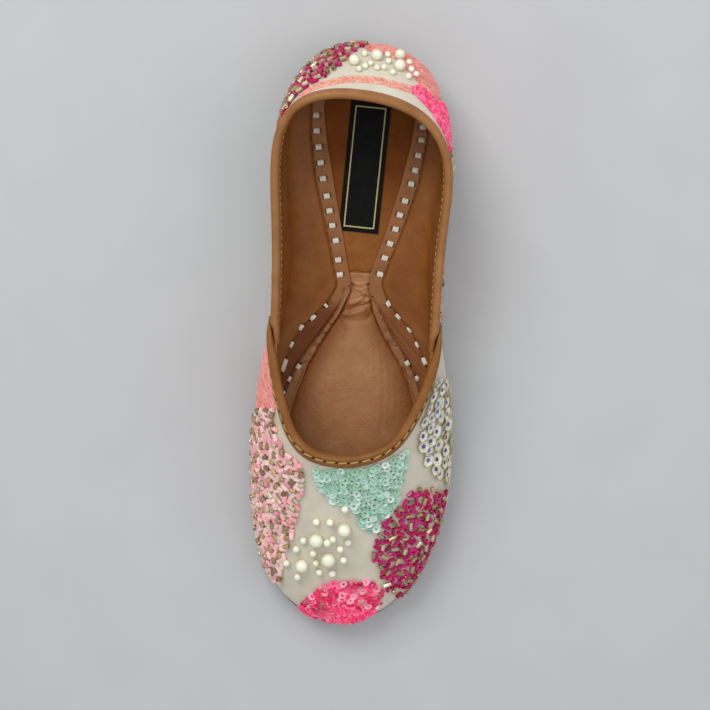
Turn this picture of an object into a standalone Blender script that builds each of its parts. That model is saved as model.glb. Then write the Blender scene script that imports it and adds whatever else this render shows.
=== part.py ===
"""A flat embroidered slipper (mojari) for a right foot, standing on its sole.

The toe points along -Y, the inner side of the foot is at +X and the floor is z = 0. Lengths are in metres.
The shoe is worked out rib by rib: a rib starts on the feather line, where the upper meets the sole, climbs the
wall as a cubic curve and ends on the topline. Ribs run from 0 at the middle of the heel, over the inner side,
to HALF at the tip of the toe, and back over the outer side.
"""

import math

import bmesh
import bpy
import numpy as np

# Driving sizes of the last
LENGTH = 0.250
BALL_WIDTH = 0.082
HEEL_WIDTH = 0.058
COLLAR_WIDTH = 0.0705
BACK_HEIGHT = 0.056
SIDE_HEIGHT = 0.043
THROAT_HEIGHT = 0.046
TOE_SPRING = 0.006
HEEL_LIFT = 0.005
TOE_SWING = -0.0025
COLLAR_SKEW = 0.0036
THROAT_SKEW = 0.0040

# Leather thicknesses
WALL = 0.0018
VAMP_STEP = 0.0012
OUTSOLE = 0.0035
INSOLE = 0.0030
FLAP = 0.0012
BINDING = 0.0007
SEAM_STRIP = 0.0008
PATCH = 0.0004

# Widths and margins
SOLE_EDGE = 0.0016
HEEL_INSET = 0.0008
COLLAR_BAND = 0.0034
VAMP_BAND = 0.0040
SEAM_BAND = 0.0045
PATCH_WIDTH = 0.0145
PATCH_LENGTH = 0.050
PATCH_FROM_BACK = 0.029
GAP = 0.0003

# Where the turned-in lining leaves the wall, as a share of the way up a rib
FLAP_CLIMB_SHARE = 0.34

# Where the sole bends, as shares of LENGTH from the middle of the shoe towards the heel
TREAD_BACK_SHARE = -0.04
SEAT_FRONT_SHARE = 0.22
HEEL_BREAST_SHARE = 0.26
SPRING_START_SHARE = -0.30
TOE_TIP_SHARE = -0.5

# One row for each rib of the inner half, from the middle of the heel to the tip of the toe. The outer half
# mirrors them.
# foot_heel, foot_ball: half width at the feather line, as shares of half of HEEL_WIDTH and half of BALL_WIDTH
# foot_along, top_along: place along the shoe, as a share of LENGTH
# top_across: half width at the topline, as a share of half of COLLAR_WIDTH
# top_level: 0 is BACK_HEIGHT, 1 SIDE_HEIGHT and 2 THROAT_HEIGHT
# flare, rise: how far the wall leaves the feather line outwards and upwards, as shares of the rib's height
# reach: how far back towards the feather line the curve comes in to the topline, as a share of the way
# drop: how steeply it comes in, as a share of the rib's height
COLUMNS = (
    "foot_heel", "foot_ball", "foot_along", "top_across", "top_along", "top_level",
    "flare", "rise", "reach", "drop",
)
RIBS = (
    (0.00, 0.000, 0.4825, 0.000, 0.4310, 0.00, 0.24, 0.26, 0.55, 0.34),
    (0.51, 0.000, 0.4690, 0.430, 0.4240, 0.02, 0.23, 0.26, 0.55, 0.34),
    (0.86, 0.000, 0.4250, 0.790, 0.3960, 0.18, 0.21, 0.26, 0.50, 0.33),
    (1.00, 0.000, 0.3600, 0.975, 0.3430, 0.45, 0.19, 0.26, 0.35, 0.32),
    (0.99, 0.000, 0.2720, 1.000, 0.2720, 0.75, 0.17, 0.27, 0.30, 0.32),
    (0.92, 0.000, 0.1640, 0.960, 0.1680, 0.97, 0.15, 0.28, 0.30, 0.32),
    (0.50, 0.340, 0.0480, 0.945, 0.0540, 1.05, 0.17, 0.30, 0.20, 0.34),
    (0.00, 0.800, -0.0500, 0.920, -0.0080, 1.20, 0.24, 0.32, 0.18, 0.36),
    (0.00, 0.865, -0.1520, 0.830, -0.0560, 1.45, 0.28, 0.33, 0.24, 0.37),
    (0.00, 0.872, -0.2560, 0.700, -0.1020, 1.65, 0.28, 0.32, 0.36, 0.38),
    (0.00, 0.795, -0.3600, 0.520, -0.1380, 1.85, 0.24, 0.28, 0.48, 0.40),
    (0.00, 0.610, -0.4360, 0.300, -0.1560, 1.95, 0.18, 0.25, 0.50, 0.44),
    (0.00, 0.335, -0.4760, 0.120, -0.1615, 2.00, 0.14, 0.24, 0.50, 0.45),
    (0.00, 0.000, -0.4880, 0.000, -0.1625, 2.00, 0.13, 0.24, 0.50, 0.45),
)
HALF = len(RIBS) - 1
AROUND = 2 * HALF
SEAM_RIB = 6.0

# Inner edge of the turned-in flap: rib, half width as a share of half of BALL_WIDTH, place along the shoe
FLAP_EDGE = (
    (1.30, 0.450, 0.4180),
    (2.00, 0.475, 0.3960),
    (3.00, 0.450, 0.3480),
    (4.00, 0.350, 0.2680),
    (5.00, 0.205, 0.1680),
    (5.50, 0.105, 0.1060),
    (6.00, 0.200, 0.0560),
    (7.00, 0.450, -0.0280),
    (8.00, 0.680, -0.1120),
)


def closed_spline(rows, at):
    """Values at the places in at of the smooth closed curve through rows, one unit of at for each row."""
    count = len(rows)
    mix = np.eye(count) * 4 + np.roll(np.eye(count), 1, 0) + np.roll(np.eye(count), -1, 0)
    control = np.linalg.solve(mix / 6, rows)
    first = np.floor(at).astype(int)
    t = np.asarray(at) - first
    weights = ((1 - t) ** 3, 3 * t**3 - 6 * t**2 + 4, -3 * t**3 + 3 * t**2 + 3 * t + 1, t**3)
    return sum((w / 6)[..., None] * control[(first + i - 1) % count] for i, w in enumerate(weights))


def smooth(x):
    x = np.clip(x, 0, 1)
    return x * x * (3 - 2 * x)


def sole_top(y):
    """Height of the outsole's upper face, with the heel's lift, the tread and the toe spring."""
    lift = HEEL_LIFT * smooth((y / LENGTH - TREAD_BACK_SHARE) / (SEAT_FRONT_SHARE - TREAD_BACK_SHARE))
    past_tread = (SPRING_START_SHARE - y / LENGTH) / (SPRING_START_SHARE - TOE_TIP_SHARE)
    spring = TOE_SPRING * np.clip(past_tread, 0, None) ** 2
    return OUTSOLE + lift + spring


def floor_top(y):
    """Height of the insole's upper face."""
    return sole_top(y) + GAP + INSOLE


def rib_table():
    """Feather points, topline points and curve shares of all the ribs, inner half first."""
    half = np.array(RIBS)
    full = np.concatenate([half, half[-2:0:-1]])
    side = np.where(np.arange(AROUND) <= HALF, 1.0, -1.0)
    column = dict(zip(COLUMNS, full.T))
    across = column["foot_heel"] * HEEL_WIDTH / 2 + column["foot_ball"] * BALL_WIDTH / 2
    foot = np.stack([side * across, column["foot_along"] * LENGTH], 1)
    foot[:, 0] += TOE_SWING * smooth(-column["foot_along"] / 0.25 - 1)
    level = column["top_level"]
    top = np.stack(
        [
            side * column["top_across"] * COLLAR_WIDTH / 2,
            column["top_along"] * LENGTH,
            np.interp(level, (0, 1, 2), (BACK_HEIGHT, SIDE_HEIGHT, THROAT_HEIGHT)),
        ],
        1,
    )
    lean = side * column["top_across"]
    top[:, 1] -= COLLAR_SKEW * lean * smooth((column["top_along"] - 0.2) / 0.2)
    top[:, 1] += THROAT_SKEW * lean * smooth(-column["top_along"] / 0.12)
    shares = np.stack([column[name] for name in COLUMNS[6:]], 1)
    return np.concatenate([foot, top, shares], 1)


TABLE = rib_table()


def foot_point(rib):
    """Feather line's point and its outward direction, both level."""
    step = 0.01
    place = closed_spline(TABLE, rib)[..., :2]
    along = closed_spline(TABLE, rib + step)[..., :2] - closed_spline(TABLE, rib - step)[..., :2]
    out = np.stack([-along[..., 1], along[..., 0]], -1)
    return place, out / np.linalg.norm(out, axis=-1, keepdims=True)


def wall_point(rib, climb):
    """Point of the upper's base surface on a rib, from 0 at the feather line to 1 at the topline."""
    rib, climb = np.broadcast_arrays(np.asarray(rib, float), climb)
    row = closed_spline(TABLE, rib)
    place, out = foot_point(rib)
    foot = np.concatenate([place, (sole_top(place[..., 1]) + GAP)[..., None]], -1)
    top = row[..., 2:5]
    flare, rise, reach, drop = (row[..., i, None] for i in range(5, 9))
    height = (top - foot)[..., 2:]
    up = np.array([0.0, 0.0, 1.0])
    level = np.array([1.0, 1.0, 0.0])
    outward = np.concatenate([out, np.zeros(out.shape[:-1] + (1,))], -1)
    first = foot + outward * flare * height + up * rise * height
    second = top + (foot - top) * level * reach - up * drop * height
    t = climb[..., None]
    return (1 - t) ** 3 * foot + 3 * (1 - t) ** 2 * t * first + 3 * (1 - t) * t**2 * second + t**3 * top


def wall_normal(rib, climb):
    """Outward direction of the base surface, level at the feather line."""
    step = 0.004
    low = np.clip(np.asarray(climb, float) - step, 0, 1)
    high = np.clip(np.asarray(climb, float) + step, 0, 1)
    along = wall_point(rib + step, climb) - wall_point(rib - step, climb)
    normal = np.cross(wall_point(rib, high) - wall_point(rib, low), along)
    normal[..., 2] *= smooth(np.broadcast_to(climb, normal.shape[:-1]) / 0.15)
    return normal / np.linalg.norm(normal, axis=-1, keepdims=True)


def vamp_share(rib, soft=1e-6):
    """1 on the vamp, which lies over the quarters in front of the side seams, and 0 behind them."""
    from_toe = np.abs((np.asarray(rib) % AROUND) - HALF)
    return smooth((HALF - SEAM_RIB - from_toe) / soft + 0.5)


def wall_sheet(rib, climb, out):
    """Points at a distance out from the base surface, kept on the sole along the feather line."""
    rib, climb, out = np.broadcast_arrays(rib, climb, out)
    points = wall_point(rib, climb) + wall_normal(rib, climb) * out[..., None]
    on_sole = climb == 0
    points[..., 2] = np.where(on_sole, sole_top(points[..., 1]) + GAP, points[..., 2])
    return points


def below_topline(rib, down):
    """The climb value of the place on a rib that lies the distance down under its topline."""
    step = 0.02
    speed = np.linalg.norm(wall_point(rib, 1.0) - wall_point(rib, 1.0 - step), axis=-1) / step
    return 1 - down / speed


def material(name, colour, roughness):
    made = bpy.data.materials.new(name)
    made.use_nodes = True
    shader = made.node_tree.nodes["Principled BSDF"]
    shader.inputs["Base Color"].default_value = (*colour, 1)
    shader.inputs["Roughness"].default_value = roughness
    return made


def sheet_faces(mesh, grid, closed):
    """Adds a grid of points to mesh as quads and returns its vertices, row by row."""
    rows = [[mesh.verts.new(point) for point in row] for row in grid]
    pairs = list(zip(rows, rows[1:] + rows[:1])) if closed else list(zip(rows, rows[1:]))
    for row, following in pairs:
        for a, b, c, d in zip(row, row[1:], following[1:], following):
            mesh.faces.new((a, b, c, d))
    return rows


def add_object(name, mesh, look, collection):
    data = bpy.data.meshes.new(name)
    mesh.to_mesh(data)
    mesh.free()
    data.shade_smooth()
    data.set_sharp_from_angle(angle=math.radians(40))
    data.materials.append(look)
    made = bpy.data.objects.new(name, data)
    collection.objects.link(made)
    return made


def slab(name, outer, inner, look, collection, closed=False):
    """A solid between two sheets of the same grid. A closed one runs all the way round the shoe."""
    mesh = bmesh.new()
    over = sheet_faces(mesh, outer, closed)
    under = sheet_faces(mesh, inner, closed)
    borders = [([row[side] for row in over], [row[side] for row in under]) for side in (0, -1)]
    for top, low in borders:
        ring = list(zip(top, low))
        pairs = list(zip(ring, ring[1:] + ring[:1])) if closed else list(zip(ring, ring[1:]))
        for (a, b), (c, d) in pairs:
            mesh.faces.new((a, b, d, c))
    if not closed:
        for top, low in ((over[0], under[0]), (over[-1], under[-1])):
            for a, b, c, d in zip(top, top[1:], low[1:], low):
                mesh.faces.new((a, b, c, d))
    bmesh.ops.remove_doubles(mesh, verts=mesh.verts, dist=1e-6)
    bmesh.ops.recalc_face_normals(mesh, faces=mesh.faces)
    return add_object(name, mesh, look, collection)


def leather_sheet(name, grid, thickness, look, collection):
    """A sheet that grows by its thickness away from the side that its grid's normals point to."""
    mesh = bmesh.new()
    sheet_faces(mesh, grid, False)
    made = add_object(name, mesh, look, collection)
    solid = made.modifiers.new("thickness", "SOLIDIFY")
    solid.thickness = thickness
    solid.offset = -1
    solid.use_even_offset = True
    return made


def plan_rows(first, last, count, margin):
    """Rows across the shoe: outline points of both sides, moved out by margin, for ribs first to last."""
    ribs = np.linspace(first, last, count)
    rows = []
    for rib in ribs:
        ends = []
        for at in (AROUND - rib, rib):
            place, out = foot_point(np.array(at))
            ends.append(place + out * margin(at))
        rows.append(ends)
    return np.array(rows)


def plate_grid(rows, height, columns):
    """A grid across the shoe between the two ends of each row, at the height given for each place along it."""
    share = np.linspace(0, 1, columns)[None, :, None]
    flat = rows[:, :1] * (1 - share) + rows[:, 1:] * share
    return np.concatenate([flat, height(flat[..., 1])[..., None]], -1)


def build_upper(look, collection):
    """Vamp and quarters as one hollow wall. The vamp's overlap is a step in it at the side seams."""
    step = 0.006
    ribs = [k / 3 for k in range(3 * AROUND) if k / 3 not in (SEAM_RIB, AROUND - SEAM_RIB)]
    ribs += [SEAM_RIB - step, SEAM_RIB + step, AROUND - SEAM_RIB - step, AROUND - SEAM_RIB + step]
    ribs = np.array(sorted(ribs))[:, None]
    climbs = np.array((0, 0.06, 0.13, 0.22, 0.32, 0.43, 0.55, 0.67, 0.79, 0.90, 1.0))[None, :]
    outer = wall_sheet(ribs, climbs, VAMP_STEP * vamp_share(ribs))
    inner = wall_sheet(ribs, climbs, -WALL)
    return slab("upper", outer, inner, look, collection, closed=True)


def sole_margin(rib):
    return SOLE_EDGE + VAMP_STEP * vamp_share(rib, soft=1.0)


def build_outsole(look, collection):
    rows = plan_rows(0, HALF, 3 * HALF + 1, sole_margin)
    top = plate_grid(rows, sole_top, 7)
    bottom = plate_grid(rows, lambda y: sole_top(y) - OUTSOLE, 7)
    return slab("outsole", top, bottom, look, collection)


def build_heel(look, collection):
    """The low stacked lift under the seat, cut straight across at the breast."""
    ribs = np.linspace(0, HALF / 2, 200)
    breast = float(np.interp(-HEEL_BREAST_SHARE * LENGTH, -foot_point(ribs)[0][:, 1], ribs))
    rows = plan_rows(0, breast, 15, lambda rib: SOLE_EDGE - HEEL_INSET)
    rows[-1, :, 1] = HEEL_BREAST_SHARE * LENGTH
    top = plate_grid(rows, lambda y: np.full_like(y, HEEL_LIFT - GAP), 5)
    bottom = plate_grid(rows, np.zeros_like, 5)
    return slab("heel", top, bottom, look, collection)


def build_insole(look, collection):
    inset = -(WALL + 2 * GAP)
    rows = plan_rows(0, HALF, 3 * HALF + 1, lambda rib: inset)
    top = plate_grid(rows, floor_top, 7)
    bottom = plate_grid(rows, lambda y: sole_top(y) + GAP, 7)
    return slab("insole", top, bottom, look, collection)


def flap_grid(side):
    """The quarter's lining turned in: down the inside of the wall, round the corner and over the insole."""
    rib, across, along = np.array(FLAP_EDGE).T
    ribs = np.arange(rib[0], rib[-1] + 0.01, 0.25)
    at = ribs if side > 0 else AROUND - ribs
    edge = np.stack([side * np.interp(ribs, rib, across) * BALL_WIDTH / 2, np.interp(ribs, rib, along) * LENGTH], 1)
    start = wall_sheet(at, FLAP_CLIMB_SHARE, -(WALL + GAP))
    place, out = foot_point(at)
    corner = place - out * (WALL + 3 * GAP)
    height = start[:, 2] - floor_top(start[:, 1])
    flat = [start[:, :2], start[:, :2] * 0.25 + corner * 0.75, corner * 0.6 + edge * 0.4, edge]
    levels = [height, 0.15 * height, 0 * height, 0 * height]
    grid = []
    for t in np.linspace(0, 1, 9):
        weight = ((1 - t) ** 3, 3 * (1 - t) ** 2 * t, 3 * (1 - t) * t**2, t**3)
        spot = sum(w * p for w, p in zip(weight, flat))
        lift = sum(w * h for w, h in zip(weight, levels))
        grid.append(np.concatenate([spot, (floor_top(spot[:, 1]) + GAP + lift)[:, None]], 1))
    grid = np.array(grid)
    return grid if side > 0 else grid[::-1]


def binding_grids(ribs, band, out):
    """Outside and inside of a strip folded over the topline, on a wall whose outer face lies out from the base."""
    downs = np.array((1.0, 0.5, 0.0)) * band
    outside, inside = [], []
    for rib in ribs:
        climbs = below_topline(rib, downs)
        edge = wall_point(rib, 1.0)
        normal = wall_normal(np.array(rib), np.array(1.0))
        up = edge - wall_point(rib, below_topline(rib, 0.001))
        up = up / np.linalg.norm(up)
        for faces, clear in ((outside, GAP + BINDING), (inside, GAP)):
            front = wall_sheet(rib, climbs, out + clear)
            back = wall_sheet(rib, climbs[::-1], -(WALL + clear))
            middle = [
                edge + up * clear + normal * (out + 0.4 * clear),
                edge + up * clear - normal * (WALL + 0.4 * clear),
            ]
            faces.append([*front, *middle, *back])
    return np.array(outside), np.array(inside)


def build_bindings(look, collection):
    clear = 0.02
    back = np.linspace(AROUND - SEAM_RIB + clear, AROUND + SEAM_RIB - clear, 43)
    front = np.linspace(SEAM_RIB + clear, AROUND - SEAM_RIB - clear, 43)
    slab("collar_binding", *binding_grids(back, COLLAR_BAND, 0.0), look, collection)
    slab("vamp_binding", *binding_grids(front, VAMP_BAND, VAMP_STEP), look, collection)


def build_seam_bands(look, collection):
    """The vamp's back edges, bound from under the topline's binding down to the sole."""
    climbs = np.linspace(0.03, float(below_topline(SEAM_RIB, VAMP_BAND + 3 * GAP)), 9)
    for name, rib, side in (("seam_medial", SEAM_RIB, 1), ("seam_lateral", AROUND - SEAM_RIB, -1)):
        apart = wall_point(rib + 0.5, 0.5) - wall_point(rib, 0.5)
        turn = SEAM_BAND / np.linalg.norm(apart) / 2
        ribs = rib + side * np.linspace(0.02, turn, 3)
        grids = [
            wall_sheet(ribs[:, None], climbs[None, :], VAMP_STEP + clear)
            for clear in (GAP + SEAM_STRIP, GAP)
        ]
        slab(name, *grids, look, collection)


def build_patch(look, collection):
    """The plain woven patch on the heel seat."""
    along = LENGTH / 2 - PATCH_FROM_BACK - np.linspace(0, PATCH_LENGTH, 9)
    across = np.array((-0.5, 0.5)) * PATCH_WIDTH
    x, y = np.meshgrid(across, along)
    grids = [np.stack([x, y, floor_top(y) + GAP + clear], -1) for clear in (PATCH, 0.0)]
    slab("patch", *grids, look, collection)


def main():
    for thing in list(bpy.data.objects):
        bpy.data.objects.remove(thing, do_unlink=True)
    shoe = bpy.data.collections.new("mojari_shoe")
    bpy.context.scene.collection.children.link(shoe)
    satin = material("cream_satin", (0.62, 0.55, 0.46), 0.5)
    lining = material("tan_leather", (0.29, 0.13, 0.05), 0.55)
    edging = material("binding_leather", (0.25, 0.11, 0.04), 0.5)
    tread = material("sole_leather", (0.12, 0.06, 0.03), 0.6)
    woven = material("black_weave", (0.015, 0.015, 0.015), 0.7)
    build_outsole(tread, shoe)
    build_heel(tread, shoe)
    build_upper(satin, shoe)
    build_insole(lining, shoe)
    for name, side in (("flap_medial", 1), ("flap_lateral", -1)):
        leather_sheet(name, flap_grid(side), FLAP, lining, shoe)
    build_bindings(edging, shoe)
    build_seam_bands(edging, shoe)
    build_patch(woven, shoe)


main()
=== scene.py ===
"""The look of an embroidered slipper (mojari) for a right foot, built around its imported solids.

The toe points along -Y, the inner side of the foot is at +X and the floor is z = 0. Lengths are in metres.
A place on the upper is a rib and a climb. Ribs run from 0 at the middle of the heel, over the inner side, to
HALF at the tip of the toe, and back over the outer side. Climb runs from 0 at the sole to 1 at the topline.
"""

import math

import bmesh
import bpy
import numpy as np
from mathutils import Matrix, Vector


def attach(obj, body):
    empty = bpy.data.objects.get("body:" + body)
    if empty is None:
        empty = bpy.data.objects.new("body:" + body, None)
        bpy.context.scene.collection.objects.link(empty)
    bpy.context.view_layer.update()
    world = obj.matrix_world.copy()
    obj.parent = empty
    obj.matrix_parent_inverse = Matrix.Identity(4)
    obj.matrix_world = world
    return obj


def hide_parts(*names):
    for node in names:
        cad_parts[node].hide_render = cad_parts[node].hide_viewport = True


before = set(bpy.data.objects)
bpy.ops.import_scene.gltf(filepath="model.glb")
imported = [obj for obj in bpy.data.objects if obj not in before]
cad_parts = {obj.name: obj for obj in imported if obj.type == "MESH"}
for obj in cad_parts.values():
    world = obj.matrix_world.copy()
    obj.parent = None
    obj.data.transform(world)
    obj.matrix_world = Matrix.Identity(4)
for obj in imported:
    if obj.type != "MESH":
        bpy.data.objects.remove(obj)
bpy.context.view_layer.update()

MM = 0.001

# Sizes of the last and of its leathers, as in the solids. A share is a place along the shoe's length, counted
# from its middle
LENGTH = 0.250
BALL_WIDTH = 0.082
HEEL_WIDTH = 0.058
COLLAR_WIDTH = 0.0705
BACK_HEIGHT = 0.056
SIDE_HEIGHT = 0.043
THROAT_HEIGHT = 0.046
TOE_SPRING = 0.006
HEEL_LIFT = 0.005
TOE_SWING = -0.0025
COLLAR_SKEW = 0.0036
THROAT_SKEW = 0.0040
WALL = 0.0018
VAMP_STEP = 0.0012
OUTSOLE = 0.0035
INSOLE = 0.0030
FLAP = 0.0012
SOLE_EDGE = 0.0016
HEEL_INSET = 0.0008
SEAM_BAND = 0.0045
GAP = 0.0003
TREAD_BACK_SHARE = -0.04
SEAT_FRONT_SHARE = 0.22
HEEL_BREAST_SHARE = 0.26
SPRING_START_SHARE = -0.30
TOE_TIP_SHARE = -0.5

# The ribs of the inner half, as in the solids
COLUMNS = (
    "foot_heel", "foot_ball", "foot_along", "top_across", "top_along", "top_level",
    "flare", "rise", "reach", "drop",
)
RIBS = (
    (0.00, 0.000, 0.4825, 0.000, 0.4310, 0.00, 0.24, 0.26, 0.55, 0.34),
    (0.51, 0.000, 0.4690, 0.430, 0.4240, 0.02, 0.23, 0.26, 0.55, 0.34),
    (0.86, 0.000, 0.4250, 0.790, 0.3960, 0.18, 0.21, 0.26, 0.50, 0.33),
    (1.00, 0.000, 0.3600, 0.975, 0.3430, 0.45, 0.19, 0.26, 0.35, 0.32),
    (0.99, 0.000, 0.2720, 1.000, 0.2720, 0.75, 0.17, 0.27, 0.30, 0.32),
    (0.92, 0.000, 0.1640, 0.960, 0.1680, 0.97, 0.15, 0.28, 0.30, 0.32),
    (0.50, 0.340, 0.0480, 0.945, 0.0540, 1.05, 0.17, 0.30, 0.20, 0.34),
    (0.00, 0.800, -0.0500, 0.920, -0.0080, 1.20, 0.24, 0.32, 0.18, 0.36),
    (0.00, 0.865, -0.1520, 0.830, -0.0560, 1.45, 0.28, 0.33, 0.24, 0.37),
    (0.00, 0.872, -0.2560, 0.700, -0.1020, 1.65, 0.28, 0.32, 0.36, 0.38),
    (0.00, 0.795, -0.3600, 0.520, -0.1380, 1.85, 0.24, 0.28, 0.48, 0.40),
    (0.00, 0.610, -0.4360, 0.300, -0.1560, 1.95, 0.18, 0.25, 0.50, 0.44),
    (0.00, 0.335, -0.4760, 0.120, -0.1615, 2.00, 0.14, 0.24, 0.50, 0.45),
    (0.00, 0.000, -0.4880, 0.000, -0.1625, 2.00, 0.13, 0.24, 0.50, 0.45),
)
HALF = len(RIBS) - 1
AROUND = 2 * HALF
SEAM_RIB = 6.0

# How deep the lining's outer face lies under the wall's base surface
LINING_DEPTH = 0.8 * MM

# Inner edge of the turned-in lining on each side: rib, x and y in millimetres
FLAP_EDGES = {
    1: (
        (0.8, 15.0, 108.0), (1.3, 18.6, 104.0), (2.0, 19.9, 97.0), (3.0, 18.6, 85.0), (4.0, 15.2, 68.0),
        (5.0, 9.6, 46.5), (5.6, 4.6, 30.5), (5.8, 4.2, 27.0), (6.0, 4.8, 22.6), (6.25, 5.5, 17.6),
        (6.5, 6.8, 12.4), (7.0, 11.7, 2.6), (7.5, 16.9, -5.3), (8.0, 21.8, -13.7), (8.6, 25.5, -24.0),
        (9.2, 28.0, -34.0),
    ),
    -1: (
        (0.8, -12.0, 110.0), (1.3, -16.6, 106.0), (2.0, -18.0, 98.5), (3.0, -16.2, 85.0),
        (4.0, -12.8, 68.5), (5.0, -8.0, 46.5), (5.6, -4.6, 30.0), (5.8, -3.7, 26.2), (6.0, -3.8, 22.0),
        (6.5, -8.1, 11.4), (7.0, -13.0, 3.2), (7.5, -16.9, -3.9), (8.0, -20.6, -11.8), (8.6, -24.7, -21.8),
        (9.2, -28.0, -33.0),
    ),
}


# Shape of the upper


def smooth(x):
    x = np.clip(x, 0, 1)
    return x * x * (3 - 2 * x)


def unit(rows):
    return rows / np.linalg.norm(rows, axis=-1, keepdims=True)


def sole_top(y):
    """Height of the outsole's upper face, with the heel's lift, the tread and the toe spring."""
    lift = HEEL_LIFT * smooth((y / LENGTH - TREAD_BACK_SHARE) / (SEAT_FRONT_SHARE - TREAD_BACK_SHARE))
    past_tread = (SPRING_START_SHARE - y / LENGTH) / (SPRING_START_SHARE - TOE_TIP_SHARE)
    return OUTSOLE + lift + TOE_SPRING * np.clip(past_tread, 0, None) ** 2


def floor_top(y):
    """Height of the insole's upper face."""
    return sole_top(y) + GAP + INSOLE


def at_height(plan, height):
    """Points of a plan view at a height, which is one number or one for each point."""
    return np.concatenate([plan, np.broadcast_to(height, plan.shape[:-1])[..., None]], -1)


def bezier(t, start, first, second, end):
    """Place at a share t of the curve between start and end that first and second pull."""
    return (1 - t) ** 3 * start + 3 * (1 - t) ** 2 * t * first + 3 * (1 - t) * t**2 * second + t**3 * end


def rib_table():
    """Feather points, topline points and curve shares of all the ribs, inner half first."""
    half = np.array(RIBS)
    full = np.concatenate([half, half[-2:0:-1]])
    side = np.where(np.arange(AROUND) <= HALF, 1.0, -1.0)
    column = dict(zip(COLUMNS, full.T))
    across = column["foot_heel"] * HEEL_WIDTH / 2 + column["foot_ball"] * BALL_WIDTH / 2
    foot = np.stack([side * across, column["foot_along"] * LENGTH], 1)
    foot[:, 0] += TOE_SWING * smooth(-column["foot_along"] / 0.25 - 1)
    heights = np.interp(column["top_level"], (0, 1, 2), (BACK_HEIGHT, SIDE_HEIGHT, THROAT_HEIGHT))
    lean = side * column["top_across"]
    top = np.stack([lean * COLLAR_WIDTH / 2, column["top_along"] * LENGTH, heights], 1)
    top[:, 1] -= COLLAR_SKEW * lean * smooth((column["top_along"] - 0.2) / 0.2)
    top[:, 1] += THROAT_SKEW * lean * smooth(-column["top_along"] / 0.12)
    shares = np.stack([column[name] for name in COLUMNS[6:]], 1)
    return np.concatenate([foot, top, shares], 1)


def spline_control(rows):
    """Control points of the smooth closed curve through rows."""
    count = len(rows)
    mix = np.eye(count) * 4 + np.roll(np.eye(count), 1, 0) + np.roll(np.eye(count), -1, 0)
    return np.linalg.solve(mix / 6, rows)


CONTROL = spline_control(rib_table())


def rib_values(rib):
    """The rib table's values at any place between its ribs."""
    first = np.floor(rib).astype(int)
    t = np.asarray(rib) - first
    weights = ((1 - t) ** 3, 3 * t**3 - 6 * t**2 + 4, -3 * t**3 + 3 * t**2 + 3 * t + 1, t**3)
    return sum((w / 6)[..., None] * CONTROL[(first + i - 1) % AROUND] for i, w in enumerate(weights))


def foot_point(rib):
    """Feather line's point and its outward direction, both level."""
    step = 0.01
    place = rib_values(rib)[..., :2]
    along = rib_values(rib + step)[..., :2] - rib_values(rib - step)[..., :2]
    return place, unit(np.stack([-along[..., 1], along[..., 0]], -1))


def wall_point(rib, climb):
    """Point of the upper's base surface."""
    rib, climb = np.broadcast_arrays(np.asarray(rib, float), np.asarray(climb, float))
    row = rib_values(rib)
    place, out = foot_point(rib)
    foot = at_height(place, sole_top(place[..., 1]) + GAP)
    top = row[..., 2:5]
    flare, rise, reach, drop = (row[..., i, None] for i in range(5, 9))
    height = (top - foot)[..., 2:]
    up = np.array([0.0, 0.0, 1.0])
    level = np.array([1.0, 1.0, 0.0])
    first = foot + at_height(out, 0.0) * flare * height + up * rise * height
    second = top + (foot - top) * level * reach - up * drop * height
    return bezier(climb[..., None], foot, first, second, top)


def wall_normal(rib, climb):
    """Outward direction of the base surface, level at the feather line."""
    step = 0.004
    low = np.clip(np.asarray(climb, float) - step, 0, 1)
    high = np.clip(np.asarray(climb, float) + step, 0, 1)
    along = wall_point(rib + step, climb) - wall_point(rib - step, climb)
    normal = np.cross(wall_point(rib, high) - wall_point(rib, low), along)
    normal[..., 2] *= smooth(np.broadcast_to(climb, normal.shape[:-1]) / 0.15)
    return unit(normal)


def ribs_past_seam(rib):
    """How many ribs a place lies in front of the side seams. It is negative behind them."""
    return HALF - SEAM_RIB - np.abs(np.asarray(rib) % AROUND - HALF)


def vamp_share(rib, soft=1e-6):
    """1 on the vamp, which lies over the quarters in front of the side seams, and 0 behind them."""
    return smooth(ribs_past_seam(rib) / soft + 0.5)


def wall_sheet(rib, climb, out):
    """Points at a distance out from the base surface, kept on the sole along the feather line."""
    rib, climb, out = np.broadcast_arrays(rib, climb, out)
    points = wall_point(rib, climb) + wall_normal(rib, climb) * out[..., None]
    points[..., 2] = np.where(climb == 0, sole_top(points[..., 1]) + GAP, points[..., 2])
    return points


def below_topline(rib, down):
    """The climb value of the place on a rib that lies the distance down under its topline."""
    step = 0.02
    speed = np.linalg.norm(wall_point(rib, 1.0) - wall_point(rib, 1.0 - step), axis=-1) / step
    return 1 - down / speed


def skin(rib):
    """How far the cloth's outer face stands out from the base surface."""
    return VAMP_STEP * vamp_share(rib)


# Meshes

WELD_DISTANCE = 0.001 * MM


def grid_faces(rows, columns, closed=False):
    """Quads of a grid of points kept row by row. A closed grid joins its last row to its first."""
    row = np.arange(rows if closed else rows - 1)[:, None]
    here = row * columns + np.arange(columns - 1)
    there = (row + 1) % rows * columns + np.arange(columns - 1)
    return np.stack([here, here + 1, there + 1, there], -1).reshape(-1, 4)


def add_object(name, data):
    made = bpy.data.objects.new(name, data)
    bpy.context.scene.collection.objects.link(made)
    return made


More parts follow.
